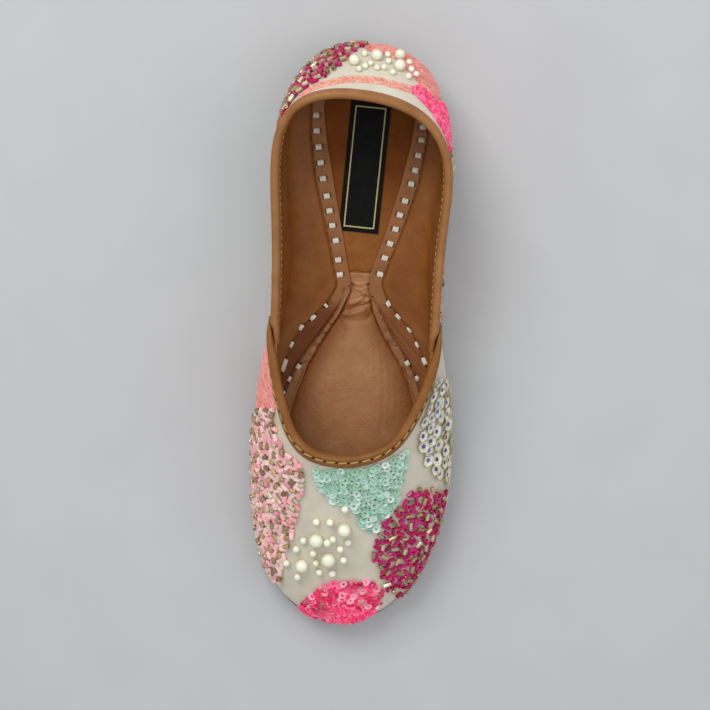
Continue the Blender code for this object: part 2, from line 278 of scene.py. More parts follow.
def add_mesh(name, points, faces, look, smooth_angle, tints=None):
    """A piece of the shoe. tints gives a colour for each point, which a tinted material reads."""
    data = bpy.data.meshes.new(name)
    data.from_pydata(np.asarray(points).reshape(-1, 3), [], faces)
    if tints is not None:
        rgba = np.concatenate([tints, np.ones((len(tints), 1))], 1)
        data.color_attributes.new("tint", "FLOAT_COLOR", "POINT").data.foreach_set("color", rgba.reshape(-1))
    data.shade_smooth()
    data.set_sharp_from_angle(angle=math.radians(smooth_angle))
    data.materials.append(look)
    piece = add_object(name, data)
    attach(piece, "root")
    return piece


def face_outwards(piece):
    """Welds points that meet and turns every face outwards."""
    mesh = bmesh.new()
    mesh.from_mesh(piece.data)
    bmesh.ops.remove_doubles(mesh, verts=mesh.verts, dist=WELD_DISTANCE)
    bmesh.ops.recalc_face_normals(mesh, faces=mesh.faces)
    mesh.to_mesh(piece.data)
    mesh.free()
    return piece


def shell(name, outer, inner, look, closed=False, smooth_angle=40.0, zone=None, zone_looks=(), tints=None):
    """A solid between two sheets of the same grid, which runs all the way round the shoe if it is closed.

    zone numbers the places of the outer sheet whose faces take one of zone_looks, from 1 on.
    """
    rows, columns = outer.shape[:2]
    count = rows * columns
    index = np.arange(count).reshape(rows, columns)
    top = grid_faces(rows, columns, closed)
    loops = [index[:, 0], index[:, -1]]
    if not closed:
        loops = [np.concatenate([index[0], index[1:, -1], index[-1, -2::-1], index[-2:0:-1, 0]])]
    rims = []
    for loop in loops:
        following = np.roll(loop, -1)
        rims.append(np.stack([loop, following, following + count, loop + count], -1))
    faces = np.concatenate([top, top[:, ::-1] + count, *rims])
    if tints is not None:
        tints = np.tile(tints.reshape(-1, 3), (2, 1))
    both = np.concatenate([outer.reshape(-1, 3), inner.reshape(-1, 3)])
    piece = add_mesh(name, both, faces, look, smooth_angle, tints)
    if zone is not None:
        for zone_look in zone_looks:
            piece.data.materials.append(zone_look)
        marks = np.zeros(len(faces), dtype=np.int32)
        marks[: len(top)] = zone.reshape(-1)[top].min(axis=1)
        piece.data.polygons.foreach_set("material_index", marks)
    return face_outwards(piece)


def trough(points, start, end, width):
    """1 along the line from start to end, fading to 0 at the width on each side."""
    start, end = np.array(start), np.array(end)
    run = end - start
    share = np.clip((points - start) @ run / (run @ run), 0, 1)
    away = np.linalg.norm(points - start - share[..., None] * run, axis=-1)
    return np.exp(-((away / width) ** 2))


# Materials


def add_node(tree, kind, inputs=(), **settings):
    made = tree.nodes.new(kind)
    for key, value in settings.items():
        setattr(made, key, value)
    for key, value in dict(inputs).items():
        made.inputs[key].default_value = value
    return made


def new_material(name, colour, roughness, **sockets):
    made = bpy.data.materials.new(name)
    made.use_nodes = True
    shader = made.node_tree.nodes["Principled BSDF"]
    shader.inputs["Base Color"].default_value = (*colour, 1)
    shader.inputs["Roughness"].default_value = roughness
    by_name = {socket.name.lower(): socket for socket in shader.inputs}
    for key, value in sockets.items():
        by_name[key.replace("_", " ")].default_value = value
    return made, made.node_tree, shader


def object_place(tree, scale=(1, 1, 1)):
    place = add_node(tree, "ShaderNodeTexCoord")
    mapping = add_node(tree, "ShaderNodeMapping", {"Scale": scale})
    tree.links.new(place.outputs["Object"], mapping.inputs["Vector"])
    return mapping.outputs["Vector"]


def noise(tree, place, scale, detail, rough=0.5, distortion=0.0):
    inputs = {"Scale": scale, "Detail": detail, "Roughness": rough, "Distortion": distortion}
    made = add_node(tree, "ShaderNodeTexNoise", inputs)
    tree.links.new(place, made.inputs["Vector"])
    return made.outputs["Fac"]


def waves(tree, place, direction, scale, distortion, detail=2.0):
    inputs = {"Scale": scale, "Distortion": distortion, "Detail": detail}
    made = add_node(tree, "ShaderNodeTexWave", inputs, bands_direction=direction)
    tree.links.new(place, made.inputs["Vector"])
    return made.outputs["Fac"]


def tint_colour(tree):
    return add_node(tree, "ShaderNodeVertexColor", layer_name="tint").outputs["Color"]


def ramp(tree, value, stops):
    made = add_node(tree, "ShaderNodeValToRGB")
    while len(made.color_ramp.elements) < len(stops):
        made.color_ramp.elements.new(0.5)
    for element, (place, colour) in zip(made.color_ramp.elements, stops):
        element.position = place
        element.color = (*colour, 1)
    tree.links.new(value, made.inputs["Fac"])
    return made.outputs["Color"]


def to_range(tree, value, low, high, start, end):
    limits = {"From Min": low, "From Max": high, "To Min": start, "To Max": end}
    made = add_node(tree, "ShaderNodeMapRange", limits)
    tree.links.new(value, made.inputs["Value"])
    return made.outputs["Result"]


def maths(tree, operation, first, second):
    made = add_node(tree, "ShaderNodeMath", operation=operation)
    for socket, value in zip(made.inputs, (first, second)):
        if isinstance(value, (int, float)):
            socket.default_value = value
        else:
            tree.links.new(value, socket)
    return made.outputs["Value"]


def multiplied(tree, first, second):
    made = add_node(tree, "ShaderNodeMix", data_type="RGBA", blend_type="MULTIPLY")
    made.inputs["Factor"].default_value = 1.0
    tree.links.new(first, made.inputs["A"])
    tree.links.new(second, made.inputs["B"])
    return made.outputs["Result"]


def wire(tree, shader, colour, gloss, layers):
    """Links colour and roughness, and chains bumps, each a height, its depth in metres and its strength."""
    tree.links.new(colour, shader.inputs["Base Color"])
    if gloss is not None:
        tree.links.new(gloss, shader.inputs["Roughness"])
    last = None
    for height, depth, strength in layers:
        bump = add_node(tree, "ShaderNodeBump", {"Distance": depth, "Strength": strength})
        tree.links.new(height, bump.inputs["Height"])
        if last is not None:
            tree.links.new(last, bump.inputs["Normal"])
        last = bump.outputs["Normal"]
    tree.links.new(last, shader.inputs["Normal"])


def leather(name, shades, roughness=0.5, grain=1.0, stretch=(1, 1, 1), specular=0.3, by_tint=False):
    """Soft smooth leather: mottled in three shades and pebbled, with fine creases.

    stretch scales the creases' texture, so they run along the axis with the least of it. by_tint multiplies the
    colour with the mesh's tint.
    """
    dark, middle, light = shades
    made, tree, shader = new_material(name, middle, roughness, specular_ior_level=specular)
    place = object_place(tree)
    stretched = object_place(tree, stretch)
    mottle = noise(tree, place, 90, 4, 0.6)
    shade = ramp(tree, mottle, ((0.25, dark), (0.5, middle), (0.78, light)))
    if by_tint:
        shade = multiplied(tree, shade, tint_colour(tree))
    pebbles = add_node(tree, "ShaderNodeTexVoronoi", {"Scale": 900}, feature="DISTANCE_TO_EDGE")
    tree.links.new(place, pebbles.inputs["Vector"])
    folds = noise(tree, stretched, 330, 5, 0.62, 1.8)
    gloss = to_range(tree, noise(tree, stretched, 500, 3), 0.3, 0.7, roughness - 0.1, roughness + 0.12)
    layers = [
        (pebbles.outputs["Distance"], 0.25 * MM, 0.25 * grain),
        (folds, 0.6 * MM, 0.65 * grain),
        (mottle, 1.2 * MM, 0.3 * grain),
    ]
    wire(tree, shader, shade, gloss, layers)
    return made


def satin():
    """Cream satin over leather: fine threads, a soft sheen and slight soiling."""
    middle = (0.725, 0.67, 0.54)
    made, tree, shader = new_material("cream satin", middle, 0.5, sheen_weight=0.2, sheen_roughness=0.4)
    place = object_place(tree)
    stains = noise(tree, place, 45, 4, 0.6)
    shade = ramp(tree, stains, ((0.2, (0.61, 0.56, 0.45)), (0.55, middle), (0.85, (0.775, 0.725, 0.60))))
    scales = {"X": 900, "Y": 1300, "Z": 900}
    threads = [waves(tree, place, axis, scale, 0.6, 1.0) for axis, scale in scales.items()]
    weave = maths(tree, "ADD", maths(tree, "ADD", threads[0], threads[1]), threads[2])
    gloss = to_range(tree, stains, 0.2, 0.8, 0.42, 0.56)
    ripple = noise(tree, object_place(tree, (1, 0.5, 1)), 160, 2)
    wire(tree, shader, shade, gloss, [(weave, 0.06 * MM, 0.35), (ripple, 0.9 * MM, 0.25)])
    return made


def burnished(name, dark, light):
    """Sole leather: layered edge, rubbed and darker in streaks."""
    made, tree, shader = new_material(name, light, 0.55)
    layers = noise(tree, object_place(tree, (1, 1, 9)), 220, 4, 0.6)
    shade = ramp(tree, layers, ((0.3, dark), (0.7, light)))
    scuffs = noise(tree, object_place(tree, (1, 0.3, 1)), 700, 4, 0.7)
    gloss = to_range(tree, scuffs, 0.3, 0.7, 0.4, 0.7)
    wire(tree, shader, shade, gloss, [(layers, 0.5 * MM, 0.4), (scuffs, 0.2 * MM, 0.3)])
    return made


def thread(name, colour, roughness, shine=0.0, groove_shade=0.62):
    """Twisted yarn, with painted shade in the hollows between the plies and painted light on their tops."""
    made, tree, shader = new_material(name, colour, roughness, metallic=shine)
    place = object_place(tree)
    plies = waves(tree, place, "DIAGONAL", 1600, 1.5)
    dark = tuple(groove_shade * part for part in colour)
    light = tuple(min(1.0, 1.12 * part) for part in colour)
    shade = ramp(tree, plies, ((0.1, dark), (0.5, colour), (0.9, light)))
    fuzz = noise(tree, place, 2500, 2)
    wire(tree, shader, shade, None, [(plies, 0.08 * MM, 0.6), (fuzz, 0.05 * MM, 0.4)])
    return made


def tinted(name, roughness, specks, depth, painted_glow=0.0, rim_colour=None, **sockets):
    """A look whose colour comes from each copy's tint, with faint streaks, speckled gloss and a fine surface.

    The emission strength argument gives off the look's own colour as painted light, lifting it out of its shade;
    on the hot pink thread and sequins it also stands for their fluorescent dye. rim_colour darkens what is seen
    edge-on.
    """
    made, tree, shader = new_material(name, (0.5, 0.5, 0.5), roughness, **sockets)
    streaks = noise(tree, object_place(tree), 1400, 2)
    grey = ramp(tree, streaks, ((0.3, (1 - 2 * specks,) * 3), (0.7, (1.0,) * 3)))
    colour = multiplied(tree, tint_colour(tree), grey)
    if rim_colour:
        facing = add_node(tree, "ShaderNodeLayerWeight", {"Blend": 0.45})
        fade = ramp(tree, facing.outputs["Facing"], ((0.15, (1.0, 1.0, 1.0)), (0.95, rim_colour)))
        colour = multiplied(tree, colour, fade)
    if painted_glow:
        tree.links.new(colour, shader.inputs["Emission Color"])
        shader.inputs["Emission Strength"].default_value = painted_glow
    gloss = to_range(tree, streaks, 0.3, 0.7, 0.8 * roughness, 1.3 * roughness)
    wire(tree, shader, colour, gloss, [(streaks, depth * MM, 0.3)])
    return made


def weave_cloth():
    """Black woven label: fine ribs of warp and weft with a faint shine."""
    made, tree, shader = new_material("black weave", (0.008, 0.008, 0.008), 0.7, specular_ior_level=0.12)
    place = object_place(tree)
    cells = maths(tree, "MULTIPLY", waves(tree, place, "X", 700, 0.3), waves(tree, place, "Y", 480, 0.3))
    shade = ramp(tree, cells, ((0.0, (0.003, 0.003, 0.003)), (1.0, (0.013, 0.012, 0.011))))
    gloss = to_range(tree, noise(tree, place, 400, 3), 0.3, 0.7, 0.45, 0.7)
    wire(tree, shader, shade, gloss, [(cells, 0.12 * MM, 0.5)])
    return made


def floor_look():
    made, tree, shader = new_material("plain floor", (0.56, 0.565, 0.575), 0.85)
    speck = noise(tree, object_place(tree), 30, 2)
    shade = ramp(tree, speck, ((0.3, (0.55, 0.555, 0.565)), (0.7, (0.57, 0.575, 0.585))))
    tree.links.new(shade, shader.inputs["Base Color"])
    return made


SATIN = satin()
LINING = leather(
    "lining leather", ((0.23, 0.075, 0.015), (0.29, 0.10, 0.022), (0.335, 0.125, 0.03)),
    roughness=0.46, grain=0.6, stretch=(1.6, 0.5, 1), specular=0.25,
)
STRIP = leather(
    "strip leather", ((0.275, 0.108, 0.038), (0.335, 0.14, 0.052), (0.385, 0.168, 0.066)),
    grain=0.7, specular=0.25, by_tint=True,
)
# Painted shade: a dark copy of the strip leather, for the strips' stitch pits and the dip beside the outer lip
SHADED = leather(
    "strip leather in painted shade", ((0.12, 0.042, 0.014), (0.16, 0.056, 0.02), (0.2, 0.075, 0.028)),
    roughness=0.55,
)
LIP = leather(
    "cut edge leather", ((0.29, 0.12, 0.047), (0.36, 0.158, 0.066), (0.42, 0.19, 0.084)),
    roughness=0.55, grain=0.9,
)
# The sock and its forefoot pad are one leather in two copies: the darker sock look holds painted shade, deepest
# under the collar's back, and the lighter pad look holds painted light
SOCK = leather(
    "sock leather", ((0.25, 0.088, 0.021), (0.30, 0.112, 0.029), (0.35, 0.138, 0.04)),
    roughness=0.55, grain=0.9, stretch=(1.5, 0.6, 1), specular=0.06, by_tint=True,
)
PAD = leather(
    "pad leather", ((0.39, 0.168, 0.064), (0.46, 0.21, 0.087), (0.52, 0.25, 0.11)),
    roughness=0.38, grain=0.85, stretch=(1.1, 0.9, 1), specular=0.45, by_tint=True,
)
BINDING = leather(
    "binding leather", ((0.26, 0.105, 0.03), (0.335, 0.142, 0.045), (0.39, 0.175, 0.06)),
    roughness=0.42, grain=0.45,
)
VAMP_BINDING = leather(
    "vamp binding leather", ((0.205, 0.078, 0.019), (0.262, 0.103, 0.026), (0.315, 0.13, 0.036)),
    roughness=0.42, grain=0.5, specular=0.22,
)
# Near-black pieces at the stitches' holes: painted shade
HOLE_SHADE = leather(
    "painted stitch hole shade", ((0.03, 0.012, 0.004), (0.04, 0.016, 0.006), (0.05, 0.02, 0.008)), roughness=0.8,
)
SOLE = burnished("sole leather", (0.05, 0.022, 0.01), (0.13, 0.06, 0.028))
LABEL = weave_cloth()
GOLD_THREAD = thread("gold thread", (0.60, 0.37, 0.08), roughness=0.4, shine=0.25)
PALE_GOLD = thread("pale gold thread", (0.72, 0.62, 0.30), roughness=0.5, shine=0.1)
COTTON = thread("cotton thread", (0.93, 0.87, 0.75), roughness=0.8, groove_shade=0.8)
# Emission on these looks is painted light; on the hot pink thread and sequins it also stands for their
# fluorescent dye
SILK = tinted("silk thread", 0.42, specks=0.2, depth=0.06, painted_glow=0.06, sheen_weight=0.1)
NEON_SILK = tinted("neon thread", 0.42, specks=0.2, depth=0.06, painted_glow=0.3, sheen_weight=0.1)
GLASS = tinted(
    "bead glass", 0.14, specks=0.15, depth=0.03, painted_glow=0.1,
    coat_weight=0.2, coat_roughness=0.08, specular_ior_level=0.3,
)
OPAL = tinted("pale bead glass", 0.4, specks=0.08, depth=0.03, painted_glow=0.2, coat_weight=0.15, coat_roughness=0.2)
LINED_GLASS = tinted(
    "lined bead glass", 0.24, specks=0.2, depth=0.03, rim_colour=(0.36, 0.23, 0.13),
    metallic=0.4, coat_weight=0.4, coat_roughness=0.08,
)
PEARL = tinted(
    "pearl", 0.32, specks=0.04, depth=0.02, painted_glow=0.09, rim_colour=(0.50, 0.45, 0.27),
    coat_weight=1.0, coat_roughness=0.27, coat_ior=1.8,
)
SEQUIN = tinted("sequin film", 0.2, specks=0.10, depth=0.02, coat_weight=0.4, coat_roughness=0.1)
NEON_SEQUIN = tinted(
    "neon sequin film", 0.2, specks=0.15, depth=0.02, painted_glow=0.28, coat_weight=0.4, coat_roughness=0.1
)
PETAL = tinted("petal film", 0.42, specks=0.12, depth=0.08, painted_glow=0.06, coat_weight=0.2, coat_roughness=0.25)

# Painted shade, as colour factors: what the front parts of the turned-in lining keep of the strips' colour,
# darkest on the outer side, and what the sock keeps of its own at the forefoot pad's edges and towards the
# back of the heel
FRONT_SHADE_TINT = {-1: (0.58, 0.41, 0.26), 1: (0.84, 0.71, 0.60)}
SOCK_SHADE_TINT = (0.64, 0.45, 0.23)


# Upper, lining and sole


# How far the wall's layers end under the topline, and what the vamp's wings add to that. In ribs from the side
# seams: how far the wings reach, how far what they add reaches, and over how many it fades
LAYER_DROP = 1.2 * MM
WING_DROP = 2.2 * MM
WING_REACH = 1.1
WING_DROP_REACH = 1.15
WING_DROP_FADE = 0.3

# How far the cloth's inner face is drawn outwards at the wings
WING_THINNING = 0.9 * MM

# Slight unevenness of the cloth: its height, and how fast its waves turn along X, Y and Z in radians a metre
RIPPLE = 0.10 * MM
RIPPLE_TURNS = (410, 290, 350)

# Ribs left free on each side of the side seams
SEAM_CLEARANCE = 0.004


def wing_share(rib):
    """1 at the vamp's back edges, falling to 0 along its wings."""
    return smooth(WING_REACH - ribs_past_seam(rib))


def layer_drop(rib):
    """How far the wall's layers end under the topline, so that the bindings hide their edges."""
    near_seam = smooth((WING_DROP_REACH - np.abs(ribs_past_seam(rib))) / WING_DROP_FADE)
    return LAYER_DROP + WING_DROP * wing_share(rib) * near_seam


def wall_shell(name, first, last, rows, columns, out, into, look, closed=False):
    """A layer of the wall between two distances from the base surface.

    Each distance is a number or a function of the ribs and climbs.
    """
    ribs = np.linspace(first, last, rows, endpoint=not closed)[:, None]
    climbs = np.linspace(0, 1, columns)[None, :] * below_topline(ribs, layer_drop(ribs))
    sheets = [wall_sheet(ribs, climbs, far(ribs, climbs) if callable(far) else far) for far in (out, into)]
    return shell(name, *sheets, look, closed)


# Soft troughs in the cloth: start rib and climb, end rib and climb, half width and depth in millimetres
CLOTH_FOLDS = (
    (15.4, 0.93, 15.9, 0.55, 2.4, 0.35),
    (14.2, 0.90, 14.6, 0.60, 3.0, 0.25),
    (12.6, 0.52, 11.9, 0.70, 4.0, 0.40),
    (10.6, 0.92, 10.3, 0.72, 2.2, 0.30),
    (9.2, 0.90, 9.0, 0.70, 2.2, 0.25),
    (13.4, 0.30, 12.2, 0.50, 3.5, 0.35),
    (16.8, 0.80, 17.2, 0.40, 2.6, 0.30),
    (11.0, 0.20, 10.4, 0.45, 3.0, -0.30),
    (15.0, 0.25, 14.4, 0.45, 3.0, -0.30),
    (8.2, 0.60, 7.8, 0.20, 3.0, 0.40),
    (18.2, 0.60, 18.0, 0.20, 3.0, 0.40),
    (4.6, 0.25, 3.6, 0.60, 4.0, 0.35),
    (21.6, 0.25, 22.6, 0.60, 4.0, 0.35),
    (2.2, 0.15, 1.4, 0.55, 4.0, 0.30),
    (24.0, 0.15, 24.7, 0.55, 4.0, 0.30),
)


def cloth_relief(ribs, climbs):
    """How far the cloth's outer face stands out, with its soft folds and a slight unevenness."""
    base = wall_point(ribs, climbs)
    out = np.broadcast_to(skin(ribs), base.shape[:-1]).copy()
    for rib_a, climb_a, rib_b, climb_b, width, depth in CLOTH_FOLDS:
        ends = wall_point(np.array([rib_a, rib_b]), np.array([climb_a, climb_b]))
        out -= depth * MM * trough(base, ends[0], ends[1], width * MM)
    turns = base * np.array(RIPPLE_TURNS)
    ripple = np.sin(turns[..., 0] + 1.0) * np.sin(turns[..., 1] + turns[..., 2])
    return out + RIPPLE * ripple * smooth(climbs / 0.1) * smooth((1 - climbs) / 0.1)


def under_cloth(ribs, climbs):
    """The vamp's inner face, drawn outwards at the wings so that only leather shows between the bindings."""
    return -LINING_DEPTH + WING_THINNING * wing_share(ribs) * smooth((climbs - 0.7) / 0.2)


def build_upper():
    front, back = SEAM_RIB + SEAM_CLEARANCE, SEAM_RIB - SEAM_CLEARANCE
    vamp = wall_shell("vamp", front, AROUND - front, 241, 53, cloth_relief, under_cloth, SATIN)
    quarters = wall_shell(
        "quarters", AROUND - back, AROUND + back, 241, 41, cloth_relief, -LINING_DEPTH, SATIN
    )
    for piece in (vamp, quarters):
        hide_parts("upper")
    lining = wall_shell("lining", 0, AROUND, 260, 31, -LINING_DEPTH - 0.02 * MM, -WALL, LINING, closed=True)
    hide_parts("upper")


def wall_axes(rib, climb):
    """Directions on the wall: along the ribs' count, up the rib, and outwards."""
    normal = wall_normal(rib, climb)
    step = 0.004
    up = wall_point(rib, np.clip(climb + step, 0, 1)) - wall_point(rib, np.clip(climb - step, 0, 1))
    up = unit(up - normal * (up * normal).sum(-1, keepdims=True))
    return np.cross(up, normal), up, normal


# Cross-sections of the bindings: distance down from the topline along the wall and distance out from the base
# surface, in millimetres, from the outside bottom edge over the top to the inside bottom edge
COLLAR_SECTION = (
    (3.4, 0.05), (3.4, 0.55), (3.0, 0.72), (2.0, 0.8), (0.9, 0.92), (0.1, 0.8), (-0.6, 0.35),
    (-1.0, -0.45), (-1.05, -0.95), (-0.85, -1.6), (-0.3, -2.2), (0.5, -2.55), (1.4, -2.6), (2.6, -2.48),
    (3.6, -2.42), (4.2, -2.3), (4.3, -1.85),
)
VAMP_SECTION = (
    (3.95, 1.1), (4.0, 1.6), (3.75, 1.92), (3.1, 2.05), (2.2, 2.0), (1.65, 1.84), (1.3, 1.62),
    (0.98, 1.76), (0.55, 1.9), (0.1, 1.76), (-0.35, 1.32), (-0.68, 0.65), (-0.78, -0.1), (-0.65, -0.92),
    (-0.25, -1.52), (0.5, -1.92), (1.5, -2.02), (2.8, -2.02), (3.7, -1.99), (4.1, -1.83),
)


def sweep_binding(name, ribs, section, shift, look):
    """A strip folded over the topline.

    shift has millimetres down, millimetres out and a share of the section's thickness for each rib.
    """
    section = np.array(section)
    lower, outer, narrow = (column[:, None] for column in shift.T)
    down = (section[:, 0] + lower) * MM
    rib = np.broadcast_to(ribs[:, None], down.shape)
    climb = below_topline(rib, np.clip(down, 0, None))
    up = wall_axes(rib, np.ones_like(rib))[1]
    line = wall_point(rib, climb) - up * np.clip(down, None, 0)[..., None]
    rows = line + wall_normal(rib, climb) * ((section[:, 1] * narrow + outer) * MM)[..., None]
    count, around = rows.shape[:2]
    ring = np.concatenate([rows, rows[:, :1]], 1)
    faces = [tuple(face) for face in grid_faces(count, around + 1)]
    faces.append(tuple(range(around)))
    faces.append(tuple((count - 1) * (around + 1) + i for i in range(around)))
    return face_outwards(add_mesh(name, ring, faces, look, 60))


def build_bindings():
    """Collar binding, whose ends run on inside the vamp's wings and sink there, and the vamp's binding."""
    # In ribs: how far the collar's ends run on, how far the vamp's binding passes the seams, and its tips' length
    tuck, past_tip, tip_length = 0.55, 0.06, 0.35
    ribs = np.linspace(AROUND - SEAM_RIB - tuck, AROUND + SEAM_RIB + tuck, 241)
    over = np.clip((np.abs(ribs - AROUND) - SEAM_RIB) / tuck, 0, 1)
    shift = np.stack([4.4 * over**1.4, -0.9 * smooth(over * 3), 1 - 0.3 * smooth(over * 2)], 1)
    collar = sweep_binding("collar_fold", ribs, COLLAR_SECTION, shift, BINDING)
    ribs = np.linspace(SEAM_RIB - past_tip, AROUND - SEAM_RIB + past_tip, 281)
    wing = wing_share(ribs)
    tip = smooth(1 - (ribs_past_seam(ribs) + past_tip) / tip_length)
    shift = np.stack([2.6 * tip**2, 1.35 * wing, 1 - 0.42 * wing - 0.25 * tip], 1)
    vamp = sweep_binding("vamp_fold", ribs, VAMP_SECTION, shift, VAMP_BINDING)
    for piece, node in ((collar, "collar_binding"), (vamp, "vamp_binding")):
        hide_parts(node)


def build_seams():
    """Edging down the vamp's back edges, rounded across."""
    under_binding, round_height, sunk = 3.6 * MM, 0.8 * MM, 0.1 * MM
    climbs = np.linspace(0.02, float(below_topline(SEAM_RIB, under_binding)), 25)[None, :]
    for name, rib, side in (("seam_medial", SEAM_RIB, 1), ("seam_lateral", AROUND - SEAM_RIB, -1)):
        apart = wall_point(rib + 0.5, 0.5) - wall_point(rib, 0.5)
        turn = SEAM_BAND / np.linalg.norm(apart) / 2
        share = np.linspace(0, 1, 13)
        ribs = (rib + side * (0.01 + share * turn))[:, None]
        swell = GAP + round_height * (1 - (2 * share - 1) ** 4)[:, None]
        outer = wall_sheet(ribs, climbs, VAMP_STEP + swell)
        inner = wall_sheet(ribs, climbs, VAMP_STEP - sunk)
        piece = shell(name + "_fold", outer, inner, BINDING, smooth_angle=70)
        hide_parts(name)


# Inside of the shoe


# Where the turned-in lining still lies on the wall: climb, and distance out from the base surface in
# millimetres
FLAP_ROOT = ((0.66, -1.55), (0.60, -1.78), (0.54, -1.90), (0.48, -2.0), (0.41, -2.1), (0.34, -2.2))


def flap_edge(side, ribs):
    """Inner edge of the turned-in lining in plan, softened between its listed places."""
    rib, across, along = np.array(FLAP_EDGES[side]).T
    soften = np.hanning(9) / np.hanning(9).sum()
    lines = []
    for values in (across, along):
        line = np.interp(ribs, rib, values) * MM
        lines.append(np.convolve(np.pad(line, 4, mode="edge"), soften, "valid"))
    return np.stack(lines, 1)


def flap_section(side):
    """Top face of the turned-in lining and its distance from the flap's edge, rib by rib."""
    ribs = np.linspace(FLAP_EDGES[side][0][0], FLAP_EDGES[side][-1][0], 289)
    at = ribs if side > 0 else AROUND - ribs
    edge = flap_edge(side, ribs)
    rows = [wall_sheet(at, climb, out * MM) for climb, out in FLAP_ROOT]
    start = rows.pop()
    run = unit(start - rows[-1])
    place, out = foot_point(at)
    corner = place - out * (WALL + 1.2 * MM)
    height = start[:, 2:] - floor_top(start[:, 1])[:, None] - FLAP - GAP
    first = start + run * height * 0.75
    second = at_height(corner * 0.72 + edge * 0.28, floor_top(corner[:, 1]) + FLAP + GAP)
    end = at_height(edge, floor_top(edge[:, 1]) + FLAP + GAP)
    rows += [bezier(t, start, first, second, end) for t in 1 - np.linspace(1, 0, 72) ** 1.35]
    grid = np.array(rows).transpose(1, 0, 2)
    steps = np.linalg.norm(np.diff(grid[:, ::-1], axis=1), axis=-1)
    from_edge = np.concatenate([np.zeros((len(ribs), 1)), np.cumsum(steps, 1)], 1)[:, ::-1]
    return ribs, grid, from_edge


# Where the turned-in lining is creased: rib and distance from its edge, in millimetres
FLAP_CREASE = {
    -1: (
        (0.8, 7.2), (4.0, 7.2), (5.2, 6.0), (5.8, 5.9), (6.08, 9.8), (6.25, 13.9), (6.4, 18.2),
        (6.7, 20.3), (7.1, 21.5), (9.2, 22.0),
    ),
    1: (
        (0.8, 7.2), (4.0, 7.2), (5.2, 6.0), (5.8, 5.8), (6.08, 8.9), (6.25, 14.1), (6.4, 18.8),
        (6.7, 21.1), (7.1, 22.2), (9.2, 22.0),
    ),
}

# White cotton stitches: rib and distance from the lining's edge, in millimetres
STRIP_STITCHES = {
    -1: (
        (2.5, 5.0), (2.9, 4.7), (3.27, 4.4), (3.63, 4.4), (3.97, 4.1), (4.3, 3.8), (4.57, 3.7),
        (4.83, 3.7), (5.1, 3.4), (5.37, 3.5), (5.6, 3.8),
    ),
    1: (
        (2.67, 5.2), (3.03, 5.0), (3.37, 4.8), (3.7, 4.6), (3.97, 4.2), (4.3, 3.8), (4.57, 3.5),
        (4.83, 3.5), (5.1, 3.3), (5.33, 3.5), (5.57, 3.8),
    ),
}
FRONT_STITCHES = {
    -1: ((6.13, 9.7), (6.27, 14.1), (6.4, 18.9), (6.73, 20.5), (7.13, 21.0)),
    1: ((6.07, 8.7), (6.23, 13.3), (6.37, 18.3), (6.6, 20.5), (6.87, 22.5)),
}
LOW_STITCHES = {
    -1: ((7.43, 12.2), (7.6, 16.3), (7.77, 20.0)),
    1: ((7.23, 10.9), (7.43, 14.4)),
}

# Width of the cut edge along the forefoot pad, in millimetres by rib, and the ribs where it is pinched
LIP_WIDTH = {
    -1: (
        (5.92, 0.0), (5.98, 1.9), (6.14, 1.9), (6.2, 1.15), (6.5, 1.5), (7.0, 1.8), (7.3, 2.0), (7.7, 2.9),
        (8.1, 3.8),
    ),
    1: (
        (6.12, 0.0), (6.2, 0.8), (6.45, 2.4), (6.8, 2.9), (7.3, 2.9), (8.0, 3.1), (8.6, 3.3),
    ),
}
LIP_PINCHES = {
    -1: (6.16, 6.86, 7.12, 7.24, 7.46, 7.54, 7.74, 7.98),
    1: (6.36, 6.54, 6.66, 6.92, 7.18, 7.28, 7.62, 7.9),
}

# Heights of the turned-in lining's forms over its plain face
STRIP_HEIGHT = 0.4 * MM
LIP_HEIGHT = 0.85 * MM
LIP_GROOVE = 0.8 * MM
FOLD_HEIGHT = 0.8 * MM
FOLD_GROOVE = 0.55 * MM
EDGE_ROUND = 0.35 * MM
CREASE_HEIGHT = {-1: 0.05 * MM, 1: 0.16 * MM}

# Ribs where the strips end, where the front parts begin and where their creases end. The first two slant by
# END_SLANT over the distance SLANT_LENGTH from the lining's edge
STRIP_END = 6.12
FRONT_START = 6.3
CREASE_END = 7.4
END_SLANT = 0.3
SLANT_LENGTH = 8 * MM

# What a stitch pulls in: half length, half width and depth in millimetres
STRIP_PULL = (1.7, 2.5, 0.45)
FRONT_PULL = (1.9, 1.2, 0.5)

# Zones of the lining's faces. The shaded zone is painted shade, in the strips' stitch pits and in the dip beside
# the outer lip
PLAIN_ZONE, STRIP_ZONE, LIP_ZONE, SHADED_ZONE = range(4)


def dent(away, width, power=2):
    """1 where away is 0, fading to 0 past the width on both sides."""
    return np.exp(-((away / width) ** power))


